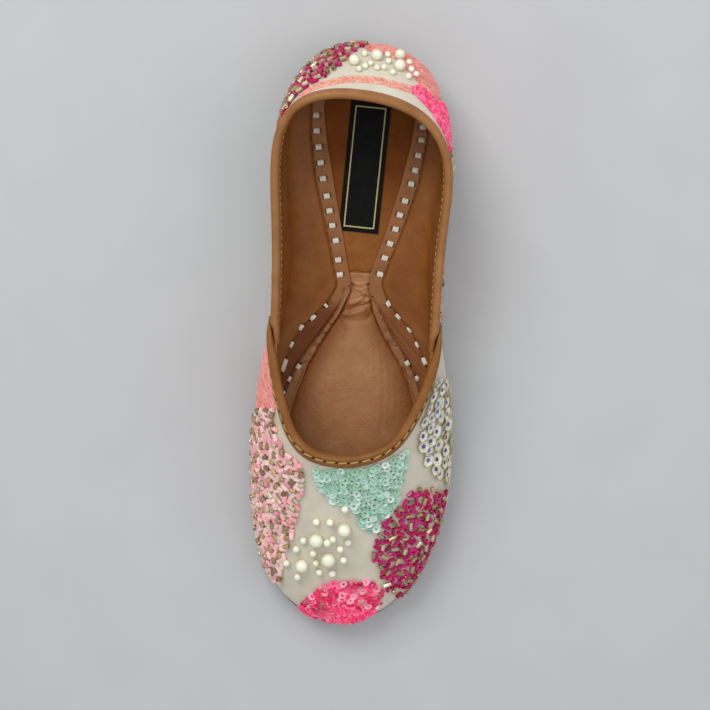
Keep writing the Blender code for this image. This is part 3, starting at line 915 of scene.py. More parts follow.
def flap_relief(side, ribs, grid, from_edge):
    """Height of the strips over the flap, with the folds beside them and what the stitches pull in.

    Also gives the zone of each place, and how far it belongs to the front parts of the lining.
    """
    plan = grid[..., :2]
    apart = np.linalg.norm(plan[:, :, None] - plan[::2, -1], axis=-1)
    at = ribs[::2][apart.argmin(-1)]
    apart = apart.min(-1)
    lip = np.interp(at, *np.array(LIP_WIDTH[side]).T) * MM - apart
    lip = np.where(at < LIP_WIDTH[side][0][0], -1.0, lip)
    within = (np.interp(ribs, *np.array(FLAP_CREASE[side]).T) * MM)[:, None] - from_edge
    rib = np.broadcast_to(ribs[:, None], from_edge.shape) - END_SLANT * (1 - from_edge / SLANT_LENGTH)
    behind = smooth((STRIP_END - rib) / 0.06)
    front = 1 - smooth((FRONT_START - rib) / 0.35)
    strip = np.minimum(within, -lip)
    height = FOLD_HEIGHT * smooth(-within / (1.3 * MM)) * smooth(1 + (within + 2 * MM) / (9 * MM))
    height -= FOLD_GROOVE * dent(within + 0.1 * MM, 0.4 * MM)
    height += STRIP_HEIGHT * smooth(strip / EDGE_ROUND) * behind
    height += LIP_HEIGHT * smooth(lip / EDGE_ROUND)
    height -= LIP_GROOVE * dent(lip + 0.4 * MM, 0.4 * MM) * (lip > -2 * MM)
    for number, pinch in enumerate(LIP_PINCHES[side]):
        lean = (0.012 + 0.03 * (number % 3)) * (apart / MM - 1.5)
        pinched = dent(at - pinch - lean, 0.035 + 0.015 * (number % 2))
        height -= (0.35 + 0.2 * (number % 3)) * MM * pinched * smooth(lip / (0.3 * MM))
    slant = (grid[..., 0] * side * 0.75 + grid[..., 1] * 0.66) / MM
    creases = np.sin(slant * 2.6 + 1.3 * np.sin(slant * 0.9)) * smooth((within - 0.8 * MM) / MM)
    creases *= smooth(-lip / MM) * (1 - behind) * smooth((CREASE_END - ribs) / 0.6)[:, None]
    height += CREASE_HEIGHT[side] * creases
    zone = np.where(lip > 0, LIP_ZONE, np.where(within > 0, STRIP_ZONE, PLAIN_ZONE))
    # Painted shade in the dip beside the outer side's lip
    if side < 0:
        zone = np.where(np.abs(lip + 0.3 * MM) < 0.26 * MM, SHADED_ZONE, zone)
    for place in (*STRIP_STITCHES[side], *FRONT_STITCHES[side], *LOW_STITCHES[side]):
        row, column = flap_place(ribs, from_edge, place)
        run = unit(grid[min(row + 2, len(ribs) - 1), column] - grid[row - 2, column])
        away = grid - grid[row, column]
        along = away @ run
        across = np.linalg.norm(away - along[..., None] * run, axis=-1)
        on_strip = place in STRIP_STITCHES[side]
        half_length, half_width, depth = STRIP_PULL if on_strip else FRONT_PULL
        pull = dent(along, half_length * MM, 4) * dent(across, half_width * MM, 4)
        height -= depth * MM * pull
        # Painted shade in the pits that the strips' stitches pull in
        if on_strip:
            zone = np.where((pull > 0.5) & (strip > 0.5 * MM), SHADED_ZONE, zone)
    return height, zone, front


def flap_place(ribs, from_edge, place):
    """Row and column of the flap's grid at a rib and a distance from its edge in millimetres."""
    row = int(np.abs(ribs - place[0]).argmin())
    return row, int(np.abs(from_edge[row] - place[1] * MM).argmin())


def grid_normals(grid):
    along = np.gradient(grid, axis=0)
    across = np.gradient(grid, axis=1)
    return unit(np.cross(along, across))


# Ribs, top face, normals and distances from the edge of each side's lining, kept for the stitches
FLAPS = {}


def build_flaps():
    """The quarter's lining turned in over the sock."""
    for side, name in ((1, "medial"), (-1, "lateral")):
        ribs, grid, from_edge = flap_section(side)
        normal = grid_normals(grid) * side
        normal *= np.sign(normal[len(ribs) // 2, -2, 2])
        height, zone, front = flap_relief(side, ribs, grid, from_edge)
        top = grid + normal * height[..., None]
        under = grid - normal * FLAP
        # Painted shade: the front parts of the turned-in lining are darkened, most on the outer side
        tints = 1 - front[..., None] * (1 - np.array(FRONT_SHADE_TINT[side]))
        looks = (STRIP, LIP, SHADED)
        piece = shell("turned_lining_" + name, top, under, LINING, False, 50, zone, looks, tints)
        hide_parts("flap_" + name)
        FLAPS[side] = (ribs, top, normal, from_edge)


# Forefoot pad: y and x of its outer and inner edge, in millimetres, from the waist to under the vamp
PAD_EDGES = (
    (25.0, -2.6, 3.8), (21.0, -3.9, 4.8), (13.5, -6.8, 6.2), (3.0, -12.9, 11.2), (-11.0, -20.0, 20.0),
    (-24.0, -25.4, 25.2), (-40.0, -29.0, 29.0), (-70.0, -31.5, 31.0), (-112.0, -24.0, 20.0),
)

# Folds gathered at the waist and creases of the pad, in millimetres: half width, depth (a ridge if negative),
# then the places that each runs through
WRINKLES = (
    (0.45, 0.55, ((-5.6, 28.9), (-4.6, 29.2), (-1.6, 30.5), (1.8, 29.7), (5.0, 30.1), (5.8, 30.0))),
    (0.90, -0.25, ((-4.0, 28.0), (0.0, 28.9), (4.6, 28.6))),
    (0.50, 1.2, ((-4.4, 24.3), (0.4, 24.0), (4.6, 24.7))),
    (0.90, -0.45, ((-1.6, 23.0), (0.6, 22.3), (1.6, 21.4))),
    (0.90, 0.25, ((-2.4, 23.2), (-1.8, 22.6), (0.8, 21.1), (2.9, 19.2))),
    (0.80, 0.20, ((0.8, 21.3), (3.2, 22.6), (5.5, 22.9))),
    (0.90, -0.45, ((2.0, 21.0), (4.4, 20.8), (6.0, 20.2))),
    (1.00, 0.50, ((2.9, 19.2), (0.2, 16.1), (-4.2, 13.6), (-7.2, 12.7))),
    (0.70, 0.30, ((-6.0, 17.4), (-2.7, 17.9), (0.6, 19.7))),
    (0.75, 0.85, ((7.1, 18.0), (4.1, 16.7), (0.0, 15.0), (-3.6, 12.9))),
    (0.80, 0.40, ((6.8, 19.6), (6.5, 13.7), (4.4, 10.7))),
    (0.95, -0.50, ((-4.3, 16.3), (-1.0, 17.0), (1.8, 18.5))),
    (0.80, -0.35, ((1.2, 16.2), (3.4, 17.6), (5.2, 18.4))),
    (1.20, -0.60, ((-6.3, 11.4), (-1.9, 12.3), (2.5, 13.6))),
    (0.70, 0.5, ((8.8, 12.1), (11.0, 8.3), (13.7, 5.0))),
    (0.50, 0.5, ((7.6, 15.0), (9.4, 10.6), (12.4, 6.4))),
    (1.40, 0.35, ((-4.0, 9.1), (0.6, 8.8), (5.0, 10.2))),
    (1.20, 0.3, ((-7.4, 8.4), (-6.0, 4.4), (-6.6, 0.0))),
    (0.60, 0.26, ((9.9, -0.2), (11.5, -9.4), (12.3, -19.8), (12.6, -30.3), (12.0, -40.3))),
    (0.60, 0.26, ((14.7, -4.5), (17.4, -13.7), (18.2, -23.5), (18.0, -35.3))),
    (0.50, 0.22, ((12.6, -2.0), (14.8, -12.0), (15.6, -24.0), (15.0, -38.0))),
    (0.60, 0.20, ((7.1, -0.4), (8.4, -9.5), (9.3, -21.1))),
    (0.50, 0.14, ((20.4, -20.0), (20.8, -30.0), (19.6, -42.0))),
    (0.50, 0.12, ((-4.8, -22.5), (0.8, -21.6), (8.2, -21.8))),
    (0.50, 0.12, ((-6.9, -27.0), (1.0, -26.2), (7.8, -26.2))),
    (0.60, 0.12, ((-3.0, -11.9), (1.4, -9.9), (5.8, -7.4))),
    (1.20, 0.15, ((-4.0, 36.0), (4.0, 36.6))),
    (1.60, 0.12, ((-5.0, 41.0), (5.0, 40.4))),
)

# Where the forefoot pad and its look start, where the heel's pad ends, and the heights of the sock's forms
PAD_FRONT = 25.6 * MM
PAD_LOOK_FRONT = 29.8 * MM
PAD_EDGE_HEIGHT = 0.8 * MM
PAD_CROWN = 1.5 * MM
HEEL_PAD_END = 28.0 * MM
HEEL_PAD_CROWN = 0.9 * MM
WAIST_CROWN = 0.5 * MM


def pad_sides(x, y):
    """How far a place lies inside the forefoot pad's sides, and its place between them from -1 to 1."""
    along, left, right = np.array(PAD_EDGES)[::-1].T * MM
    left, right = np.interp(y, along, left), np.interp(y, along, right)
    return np.minimum(x - left, right - x), (2 * x - left - right) / (right - left)


def crown(across):
    return np.clip(1 - across**2, 0, 1)


def sock_height(x, y):
    """Height of the sock's upper face: heel pad, waist, forefoot pad and the folds gathered at the waist."""
    within, across = pad_sides(x, y)
    front = smooth((PAD_FRONT - y) / (1.2 * MM))
    heel = smooth((y - HEEL_PAD_END) / (3.0 * MM))
    pad = PAD_EDGE_HEIGHT * smooth(within / (1.4 * MM)) + PAD_CROWN * crown(across) ** 0.8
    seat = HEEL_PAD_CROWN * crown(x / (24 * MM))
    waist = WAIST_CROWN * crown(x / (6 * MM))
    height = floor_top(y) + front * pad + heel * seat + (1 - front) * (1 - heel) * waist
    plan = np.stack([x, y], -1)
    for width, depth, places in WRINKLES:
        places = np.array(places) * MM
        line = np.max([trough(plan, *ends, width * MM) for ends in zip(places, places[1:])], axis=0)
        height -= depth * MM * line
    return height


def plan_grid(ribs, margin, share):
    """Places in plan from the outer to the inner side of the shoe at each rib, at shares of the way across.

    margin is how far the sides lie outside the feather line: a number, or a function of the ribs.
    """
    sides = []
    for at in (AROUND - ribs, ribs):
        place, out = foot_point(at)
        past = margin(at) if callable(margin) else margin
        sides.append((place + out * np.broadcast_to(past, at.shape)[:, None])[:, None])
    return sides[0] * (1 - share) + sides[1] * share


def build_sock():
    """The padded sock, heel to toe, in one piece."""
    bands = ((0.02, 4.9, 50), (4.9, 6.6, 112), (6.6, 9.2, 66), (9.2, HALF - 0.02, 36))
    ribs = np.concatenate([np.linspace(first, last, rows, endpoint=False) for first, last, rows in bands])
    spread = np.linspace(-1, 1, 97)
    share = 0.5 + 0.5 * (0.45 * spread + 0.55 * spread**3)[None, :, None]
    plan = plan_grid(ribs, -(WALL + 2 * GAP), share)
    x, y = plan[..., 0], plan[..., 1]
    zone = (y < PAD_LOOK_FRONT).astype(int)
    # Painted shade: the sock is darkened towards the forefoot pad's edges in front, and towards the back of the
    # heel
    pad_unshaded = np.maximum(smooth(pad_sides(x, y)[0] / (12 * MM)), smooth((y - 12 * MM) / (10 * MM)))
    heel_unshaded = 1 - 0.8 * smooth((y - 42 * MM) / (34 * MM))
    unshaded = np.where(zone == 1, pad_unshaded, heel_unshaded)[..., None]
    tints = np.array(SOCK_SHADE_TINT) * (1 - unshaded) + unshaded
    top, low = at_height(plan, sock_height(x, y)), at_height(plan, sole_top(y) + GAP)
    piece = shell("sock", top, low, SOCK, smooth_angle=60, zone=zone, zone_looks=(PAD,), tints=tints)
    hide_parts("insole")


def sole_margin(rib):
    return SOLE_EDGE + VAMP_STEP * vamp_share(rib, soft=1.0)


def add_bevel(piece, width):
    bevel = piece.modifiers.new("edge", "BEVEL")
    bevel.width = width
    bevel.segments = 3
    bevel.limit_method = "ANGLE"
    bevel.angle_limit = math.radians(50)


def build_sole():
    """Outsole and heel lift, with rubbed round edges."""
    share = np.linspace(0, 1, 15)[None, :, None]
    first = 0.03
    plan = plan_grid(np.linspace(first, HALF - first, 180), sole_margin, share)
    top = at_height(plan, sole_top(plan[..., 1]))
    outsole = shell("outsole_leather", top, top - np.array([0, 0, OUTSOLE]), SOLE)
    back_ribs = np.linspace(first, HALF / 2, 400)
    breast = float(np.interp(-HEEL_BREAST_SHARE * LENGTH, -foot_point(back_ribs)[0][:, 1], back_ribs))
    plan = plan_grid(np.linspace(first, breast, 60), SOLE_EDGE - HEEL_INSET, share)
    plan[-1, :, 1] = HEEL_BREAST_SHARE * LENGTH
    heel = shell("heel_lift", at_height(plan, HEEL_LIFT - 0.1 * MM), at_height(plan, 0.0), SOLE)
    for piece, node in ((outsole, "outsole"), (heel, "heel")):
        add_bevel(piece, 0.5 * MM)
        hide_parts(node)


# Stitches


def lathe(profile, sides, closed=False, petals=None):
    """Points and triangles of a profile of radius and height turned round Z.

    petals scales the radius by angle.
    """
    turn = np.arange(sides) / sides * 2 * math.pi
    wave = petals(turn) if petals else np.ones(sides)
    points, rings = [], []
    for radius, height in profile:
        if radius == 0:
            rings.append(np.full(sides, len(points)))
            points.append((0.0, 0.0, height))
        else:
            rings.append(len(points) + np.arange(sides))
            reach = radius * wave
            points.extend(zip(reach * np.cos(turn), reach * np.sin(turn), np.full(sides, height)))
    if closed:
        rings.append(rings[0])
    faces = []
    for low, high in zip(rings, rings[1:]):
        for a, b, c, d in zip(low, np.roll(low, -1), np.roll(high, -1), high):
            faces += [face for face in ((a, b, c), (a, c, d)) if len(set(face)) == 3]
    return np.array(points, float), np.array(faces)


def laid_down(template):
    """A template with its Z turned to X."""
    points, faces = template
    return points[:, [2, 0, 1]], faces


def strand(arch, sides=6, rings=7):
    """A short thread, one unit long on X and one unit thick, whose ends go down by arch."""
    shares = np.linspace(-1, 1, rings)
    profile = [(0.5 * (1 - abs(s) ** 3.5) ** 0.5, 0.5 * s) for s in shares[1:-1]]
    points, faces = laid_down(lathe([(0, -0.5), *profile, (0, 0.5)], sides))
    points[:, 2] -= arch * (2 * points[:, 0]) ** 2
    return points, faces


def scatter(name, template, frames, look, tints=None, smooth_angle=40.0):
    """Copies of a template joined into one mesh, one for each 3 x 4 frame, each with its own tint."""
    points, faces = template
    placed = np.einsum("nij,pj->npi", frames[:, :, :3], points) + frames[:, None, :, 3]
    copies = (faces[None] + np.arange(len(frames))[:, None, None] * len(points)).reshape(-1, 3)
    if tints is not None:
        tints = np.repeat(tints, len(points), axis=0)
    piece = add_mesh(name, placed, copies, look, smooth_angle, tints)


# Frames hold their three axes and their middle: along what they lie on, across it and out of it
ALONG, ACROSS, OUT, MIDDLE = range(4)


def line_frames(run, out, middle):
    """Frames along a line: X follows it and Z is as near to out as it can be."""
    aside = unit(np.cross(out, run))
    return np.stack([run, aside, np.cross(run, aside), middle], -1)


def path_frames(points, normals, pitch, start=0.0):
    """Frames every pitch along a path."""
    steps = np.concatenate([[0], np.cumsum(np.linalg.norm(np.diff(points, axis=0), axis=1))])
    at = np.arange(start, steps[-1], pitch)

    def along(rows, shift=0.0):
        return np.stack([np.interp(at + shift, steps, rows[:, i]) for i in range(3)], 1)

    run = unit(along(points, 0.3 * MM) - along(points, -0.3 * MM))
    return line_frames(run, unit(along(normals)), along(points))


def resize(frames, long, wide=None, tall=None):
    """Frames sized along their axes. wide and tall are the same as long where they aren't given."""
    wide = long if wide is None else wide
    tall = wide if tall is None else tall
    made = np.array(frames)
    for axis, size in ((ALONG, long), (ACROSS, wide), (OUT, tall)):
        made[:, :, axis] *= np.reshape(size, (-1, 1))
    return made


def shifted(frames, axis, distance):
    """Frames moved along one of their own axes, all by one distance or each by its own."""
    made = np.array(frames)
    made[:, :, MIDDLE] += frames[:, :, axis] * np.broadcast_to(distance, len(frames))[:, None]
    return made


def rotated(frames, angles, first, second):
    """Frames turned from their first axis towards their second."""
    cos, sin = np.cos(angles)[:, None], np.sin(angles)[:, None]
    made = np.array(frames)
    made[:, :, first] = frames[:, :, first] * cos + frames[:, :, second] * sin
    made[:, :, second] = frames[:, :, second] * cos - frames[:, :, first] * sin
    return made


def turned(frames, angles):
    return rotated(frames, angles, ALONG, ACROSS)


def tilted(frames, angles):
    return rotated(frames, angles, ACROSS, OUT)


def topline_path(first, last, down, out):
    """A line on the wall, in millimetres down under the topline and out from the base surface."""
    ribs = np.linspace(first, last, 400)
    climbs = below_topline(ribs, down * MM)
    return wall_sheet(ribs, climbs, out * MM), wall_normal(ribs, climbs)


def build_edge_stitches():
    """Gold rows on the inside of the collar binding and on the flat part of the vamp binding."""
    rng = np.random.default_rng(11)
    pitch = 4.9 * MM
    points, normals = topline_path(AROUND - SEAM_RIB - 0.1, AROUND + SEAM_RIB + 0.1, 3.0, -2.52)
    collar = path_frames(points, -normals, 2.8 * MM)
    points, normals = topline_path(SEAM_RIB + 0.35, AROUND - SEAM_RIB - 0.35, 1.45, 1.88)
    vamp = path_frames(points, normals, pitch)
    for name, frames, long, thick in (
        ("collar_stitches", collar, 2.3, 0.5),
        ("vamp_stitches", vamp, 4.3, 0.74),
    ):
        frames = turned(frames, 0.11 + 0.05 * rng.standard_normal(len(frames)))
        frames = resize(frames, long * MM, thick * MM, 0.8 * thick * MM)
        scatter(name, strand(0.5), frames, GOLD_THREAD)
    # Dark pieces between the vamp's stitches are painted shade in their holes
    holes = path_frames(points, normals, pitch, pitch / 2)
    scatter("vamp_hole_shades", strand(0.2), resize(holes, 1.3 * MM, 0.8 * MM, 0.35 * MM), HOLE_SHADE)


def flap_frames(side, places):
    """Frames on the turned-in lining at each rib and distance from its edge: X runs along the edge."""
    ribs, top, normal, from_edge = FLAPS[side]
    frames = []
    for place in places:
        row, column = flap_place(ribs, from_edge, place)
        out = normal[row, column]
        run = top[min(row + 2, len(ribs) - 1), column] - top[row - 2, column]
        frames.append(line_frames(unit(run - out * (run @ out)), out, top[row, column]))
    return np.array(frames)


# What the first and the last front stitch on each side have of the usual length
FRONT_ENDS = {-1: (0.45, 1.9), 1: (0.9, 1.1)}


def build_cotton_stitches():
    """Each stitch is a short lay of four plies: square on the strips, longer along the front creases."""
    rng = np.random.default_rng(5)
    lays, pits = [], []
    for side in (-1, 1):
        for places, long, ends, ply_width, in_line in (
            (STRIP_STITCHES[side], 2.7, (1, 1), 0.62, False),
            (FRONT_STITCHES[side], 3.7, FRONT_ENDS[side], 0.47, True),
            (LOW_STITCHES[side], 3.0, (1, 1), 0.47, True),
        ):
            frames = flap_frames(side, places)
            lengths = np.full(len(frames), long)
            lengths[[0, -1]] *= ends
            if in_line:
                run = unit(np.gradient(frames[:, :, MIDDLE], axis=0))
                frames = line_frames(run, frames[:, :, OUT], frames[:, :, MIDDLE])
                # Dark pieces at both ends of these stitches are painted shade in their holes
                for end in (-0.5, 0.5):
                    pit = shifted(shifted(frames, ALONG, end * lengths * MM), OUT, 0.4 * MM)
                    pits.append(resize(pit, 1.2 * MM, 1.5 * MM, 0.5 * MM))
            for ply in (-1.5, -0.5, 0.5, 1.5):
                lay = shifted(shifted(frames, ACROSS, ply * ply_width * MM), OUT, 0.55 * MM)
                lay = turned(lay, 0.03 * rng.standard_normal(len(lay)))
                length = lengths * (1 + 0.03 * rng.standard_normal(len(lay))) * MM
                lays.append(resize(lay, length, (ply_width + 0.14) * MM, 1.0 * MM))
    scatter("cotton_stitches", strand(0.35, sides=8, rings=9), np.concatenate(lays), COTTON)
    scatter("cotton_pit_shades", strand(0.2), np.concatenate(pits), HOLE_SHADE)


# The woven label: middle of its front edge, width and length in millimetres, and its turn
LABEL_PLACE = (-1.4, 47.2)
LABEL_SIZE = (16.4, 54.0)
LABEL_TURN = math.radians(-3.0)


def label_grid(across, along, height):
    """Points over the heel pad at places of the label, in millimetres from the middle of its front edge."""
    cos, sin = math.cos(LABEL_TURN), math.sin(LABEL_TURN)
    x = (LABEL_PLACE[0] + across * cos - along * sin) * MM
    y = (LABEL_PLACE[1] + across * sin + along * cos) * MM
    return np.stack([x, y, sock_height(x, y) + height * MM], -1)


def build_label():
    """Plain black woven label with a thin gold line inside its edges."""
    width, length = LABEL_SIZE
    along, across = np.linspace(0, length, 55)[:, None], np.linspace(-width / 2, width / 2, 19)
    along, across = np.broadcast_arrays(along, across)
    edge = np.minimum(width / 2 - np.abs(across), np.minimum(along, length - along))
    rise = 0.55 + 0.12 * smooth(edge / 0.8) - 0.10 * dent(edge - 1.0, 0.4)
    plate = shell("label", label_grid(across, along, rise), label_grid(across, along, 0.02), LABEL)
    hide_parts("patch")
    inset, line_height = 2.1, 0.70
    side, far = width / 2 - inset, length - inset
    corners = ((-side, far), (-side, inset), (side, inset), (side, far), (-side, far))
    share = np.linspace(0, 1, 40)
    up = np.tile([0.0, 0.0, 1.0], (40, 1))
    rows = []
    for (x_a, y_a), (x_b, y_b) in zip(corners, corners[1:]):
        line = label_grid(x_a + (x_b - x_a) * share, y_a + (y_b - y_a) * share, line_height)
        rows.append(path_frames(line, up, 0.95 * MM, 0.3 * MM))
    frames = np.concatenate(rows)
    lean = turned(frames, np.full(len(frames), 0.16))
    scatter("label_line", strand(0.1), resize(lean, 1.25 * MM, 0.6 * MM, 0.3 * MM), PALE_GOLD)


# Ornaments


def inside(outline, at):
    """Which places lie inside a closed outline."""
    following = np.roll(outline, -1, 0)
    x, y = at[:, :1], at[:, 1:]
    crosses = (outline[:, 1] > y) != (following[:, 1] > y)
    run, rise = (following - outline).T
    border = outline[:, 0] + run * (y - outline[:, 1]) / np.where(rise == 0, 1, rise)
    return (crosses & (x < border)).sum(1) % 2 == 1


def spots(outline, spacing, seed, fixed=()):
    """Places inside an outline on the upper, spread at random but no closer than the spacing, in millimetres.

    The fixed places come first and are all kept.
    """
    rng = np.random.default_rng(seed)
    outline = np.array(outline)
    tries = 6000
    at = rng.uniform(outline.min(0), outline.max(0), (tries, 2))
    at = at[inside(outline, at)]
    step = 0.01
    here = wall_point(*at.T)
    wide = np.linalg.norm(wall_point(at[:, 0] + step, at[:, 1]) - here, axis=1)
    tall = np.linalg.norm(wall_point(at[:, 0], at[:, 1] + step) - here, axis=1)
    at = at[rng.random(len(at)) * (wide * tall).max() < wide * tall]
    at = np.concatenate([np.reshape(fixed, (-1, 2)), at])
    points = wall_point(*at.T)
    kept = []
    for i, point in enumerate(points):
        if i < len(fixed) or not kept or ((points[kept] - point) ** 2).sum(1).min() > (spacing * MM) ** 2:
            kept.append(i)
    return at[kept]


def cloth_frames(at, lift, turn):
    """Frames on the cloth, lifted by millimetres, and turned on it from the way that the ribs count."""
    rib, climb = at.T
    along, up, normal = wall_axes(rib, climb)
    spot = wall_sheet(rib, climb, cloth_relief(rib, climb) + lift * MM)
    return turned(np.stack([along, up, normal, spot], -1), np.broadcast_to(turn, len(at)))


def pick(rng, colours, count, vary=0.10):
    """A tint for each copy from a few colours, slightly varied."""
    tints = np.array(colours)[rng.integers(len(colours), size=count)]
    return np.clip(tints * (1 + vary * rng.standard_normal((count, 1))), 0, 1)


ROSE = ((0.82, 0.44, 0.44), (0.82, 0.53, 0.50), (0.80, 0.35, 0.39), (0.81, 0.59, 0.55))
MAGENTA = ((0.50, 0.004, 0.092), (0.60, 0.010, 0.13), (0.40, 0.003, 0.065), (0.54, 0.018, 0.165))
BRONZE = ((0.80, 0.58, 0.32), (0.64, 0.44, 0.22), (0.95, 0.80, 0.54), (0.50, 0.33, 0.16))
# The palest mint is partly the cream cloth showing through the sequins and partly painted highlight, for their
# gloss
MINT = ((0.46, 0.76, 0.57), (0.56, 0.83, 0.67), (0.41, 0.70, 0.52), (0.74, 0.92, 0.82))
HOT_PINK = ((1.0, 0.07, 0.22), (1.0, 0.15, 0.32), (0.92, 0.03, 0.15), (1.0, 0.36, 0.48), (0.62, 0.012, 0.10))
CORAL = ((1.0, 0.33, 0.27), (1.0, 0.41, 0.34), (0.93, 0.27, 0.23))
PEACH = ((1.0, 0.43, 0.32), (1.0, 0.51, 0.40), (0.94, 0.35, 0.26))
ROSE_THREAD = ((1.0, 0.055, 0.20), (1.0, 0.10, 0.27), (0.92, 0.03, 0.16), (1.0, 0.20, 0.34))
CREAM_PEARL = ((0.90, 0.87, 0.70), (0.85, 0.83, 0.64), (0.92, 0.90, 0.76))
SILVER_CREAM = ((0.91, 0.88, 0.71), (0.86, 0.83, 0.65), (0.94, 0.92, 0.79), (0.83, 0.81, 0.68))
CORD = ((0.50, 0.44, 0.28), (0.62, 0.57, 0.42))
VIOLET = ((0.10, 0.085, 0.42), (0.16, 0.13, 0.52), (0.07, 0.06, 0.30), (0.22, 0.26, 0.55))


def petal_wave(turn):
    return 0.86 + 0.14 * np.abs(np.cos(3 * turn)) ** 0.6


def ring_profile(radius, height, thick, sides):
    """Section of a ring round Z: its middle's radius and height, and half its thickness."""
    turn = np.linspace(0, 2 * math.pi, sides + 1)[:-1]
    return [(radius + thick * math.cos(a), height + thick * math.sin(a)) for a in turn]


def ball():
    turn = np.linspace(-math.pi / 2, math.pi / 2, 13)
    rings = [(0.5 * math.cos(a), 0.5 * math.sin(a)) for a in turn[1:-1]]
    return lathe([(0, -0.5), *rings, (0, 0.5)], 18)


# Profiles of a cut glass tube with a hole and bevelled ends, a cup sequin with a hole, and a petalled disc
# that is hollow towards its middle
TUBE_PROFILE = (
    (0.36, -0.5), (0.47, -0.47), (0.5, -0.4), (0.5, 0.4), (0.47, 0.47), (0.36, 0.5), (0.2, 0.47), (0.2, -0.47),
)
CUP_PROFILE = ((0.15, -0.02), (0.34, 0.0), (0.5, 0.08), (0.49, 0.11), (0.33, 0.035), (0.15, 0.02))
DISC_PROFILE = (
    (0.1, 0.02), (0.28, 0.0), (0.42, 0.05), (0.5, 0.11), (0.5, 0.13), (0.41, 0.085), (0.27, 0.04), (0.1, 0.05),
)

# Ornaments, each one unit long or across
BUGLE = laid_down(lathe(TUBE_PROFILE, 8, closed=True))
PEARL_BALL = ball()
CUP = lathe(CUP_PROFILE, 12, closed=True)
FLOWER = lathe(DISC_PROFILE, 36, closed=True, petals=petal_wave)
FLOWER_CORD = lathe(ring_profile(0.5, 0.13, 0.034, 5), 36, closed=True, petals=petal_wave)
SEED_BEAD = lathe(ring_profile(0.33, 0.0, 0.17, 6), 12, closed=True)


def settle(frames, long, rng):
    """Turns each bead in its place so that it lies as clear as it can of the beads laid before it."""
    ways, dots = 12, 5
    angles = np.arange(ways) / ways * math.pi
    share = np.linspace(-0.5, 0.5, dots)[:, None]
    made = np.array(frames)
    lines = np.zeros((len(frames), dots, 3))
    for i, bead in enumerate(frames):
        turns = turned(np.repeat(bead[None], ways, 0), angles + rng.uniform(0, math.pi))
        trial = bead[:, MIDDLE] + turns[:, None, :, ALONG] * share * long[i]
        near = np.linalg.norm(frames[:i, :, MIDDLE] - bead[:, MIDDLE], axis=1) < 1.3 * long.max()
        laid = lines[:i][near].reshape(-1, 3)
        best = 0
        if len(laid):
            best = int(np.linalg.norm(trial[:, :, None] - laid, axis=-1).min(axis=(1, 2)).argmax())
        made[i], lines[i] = turns[best], trial[best]
    return made


def lay_bugles(name, outline, spacing, colours, seed, gold, size, flat=1.0, look=GLASS):
    """Bugle beads sewn every way over a patch, with lined gold ones on their own spacing among them."""
    rng = np.random.default_rng(seed)
    gold_at = spots(outline, gold, seed + 100)
    at = spots(outline, spacing, seed, gold_at)
    count = len(at)
    lined = np.arange(count) < len(gold_at)
    long = size[0] * rng.uniform(0.85, 1.08, count) * np.where(lined, 0.92, 1) * MM
    wide = size[1] * rng.uniform(0.9, 1.08, count) * MM
    frames = settle(cloth_frames(at, 0.42 * size[1], 0.0), long, rng)
    frames = tilted(frames, rng.normal(0, 0.08, count))
    frames = shifted(frames, OUT, (rng.uniform(0, 0.2, count) + 0.45 * lined) * MM)
    frames = resize(frames, long, wide, wide * np.where(lined, 1, flat))
    gold_tints = pick(rng, BRONZE, lined.sum(), 0.15)
    scatter(name + "_gold", BUGLE, frames[lined], LINED_GLASS, gold_tints, 30)
    scatter(name, BUGLE, frames[~lined], look, pick(rng, colours, (~lined).sum()), 30)


def lay_sequins(name, outline, spacing, across, colours, seed, lean, rise, look=SEQUIN):
    """Overlapping cup sequins with a small seed bead in some of their holes."""
    rng = np.random.default_rng(seed)
    at = spots(outline, spacing, seed)
    count = len(at)
    frames = cloth_frames(at, 0.25, rng.uniform(0, 2 * math.pi, count))
    frames = tilted(frames, rng.normal(0, lean, count))
    frames = shifted(frames, OUT, rng.uniform(0, rise, count) * MM)
    sized = resize(frames, across * rng.uniform(0.9, 1.06, count) * MM)
    scatter(name, CUP, sized, look, pick(rng, colours, count, 0.12), 18)
    middles = shifted(frames[rng.random(count) < 0.35], OUT, 0.25 * MM)
    beads = resize(middles, 1.15 * MM, 1.15 * MM, 1.0 * MM)
    scatter(name + "_seeds", SEED_BEAD, beads, GLASS, pick(rng, colours, len(beads), 0.2))


def lay_pearls(name, large, small, seed, sizes=(6.3, 3.3)):
    """Pearls at given places, in a large and a small size."""
    rng = np.random.default_rng(seed)
    at = np.array([*large, *small])
    across = np.repeat(sizes, (len(large), len(small))) * rng.uniform(0.94, 1.05, len(at)) * MM
    frames = shifted(cloth_frames(at, 0, rng.uniform(0, 6, len(at))), OUT, 0.38 * across)
    scatter(name, PEARL_BALL, resize(frames, across), PEARL, pick(rng, CREAM_PEARL, len(at), 0.03))


def lay_threads(name, outline, spacing, colours, seed, turn, spread, size, lift=0.35, look=SILK):
    """Shiny strands side by side at about the same angle, or tangled where the spread is wide."""
    rng = np.random.default_rng(seed)
    at = spots(outline, spacing, seed)
    count = len(at)
    frames = cloth_frames(at, lift, turn + spread * rng.standard_normal(count))
    frames = shifted(frames, OUT, rng.uniform(-0.1, 0.35, count) * MM)
    long = size[0] * rng.uniform(0.7, 1.15, count) * MM
    frames = resize(frames, long, size[1] * rng.uniform(0.85, 1.15, count) * MM)
    scatter(name, strand(0.6), frames, look, pick(rng, colours, count, 0.08))


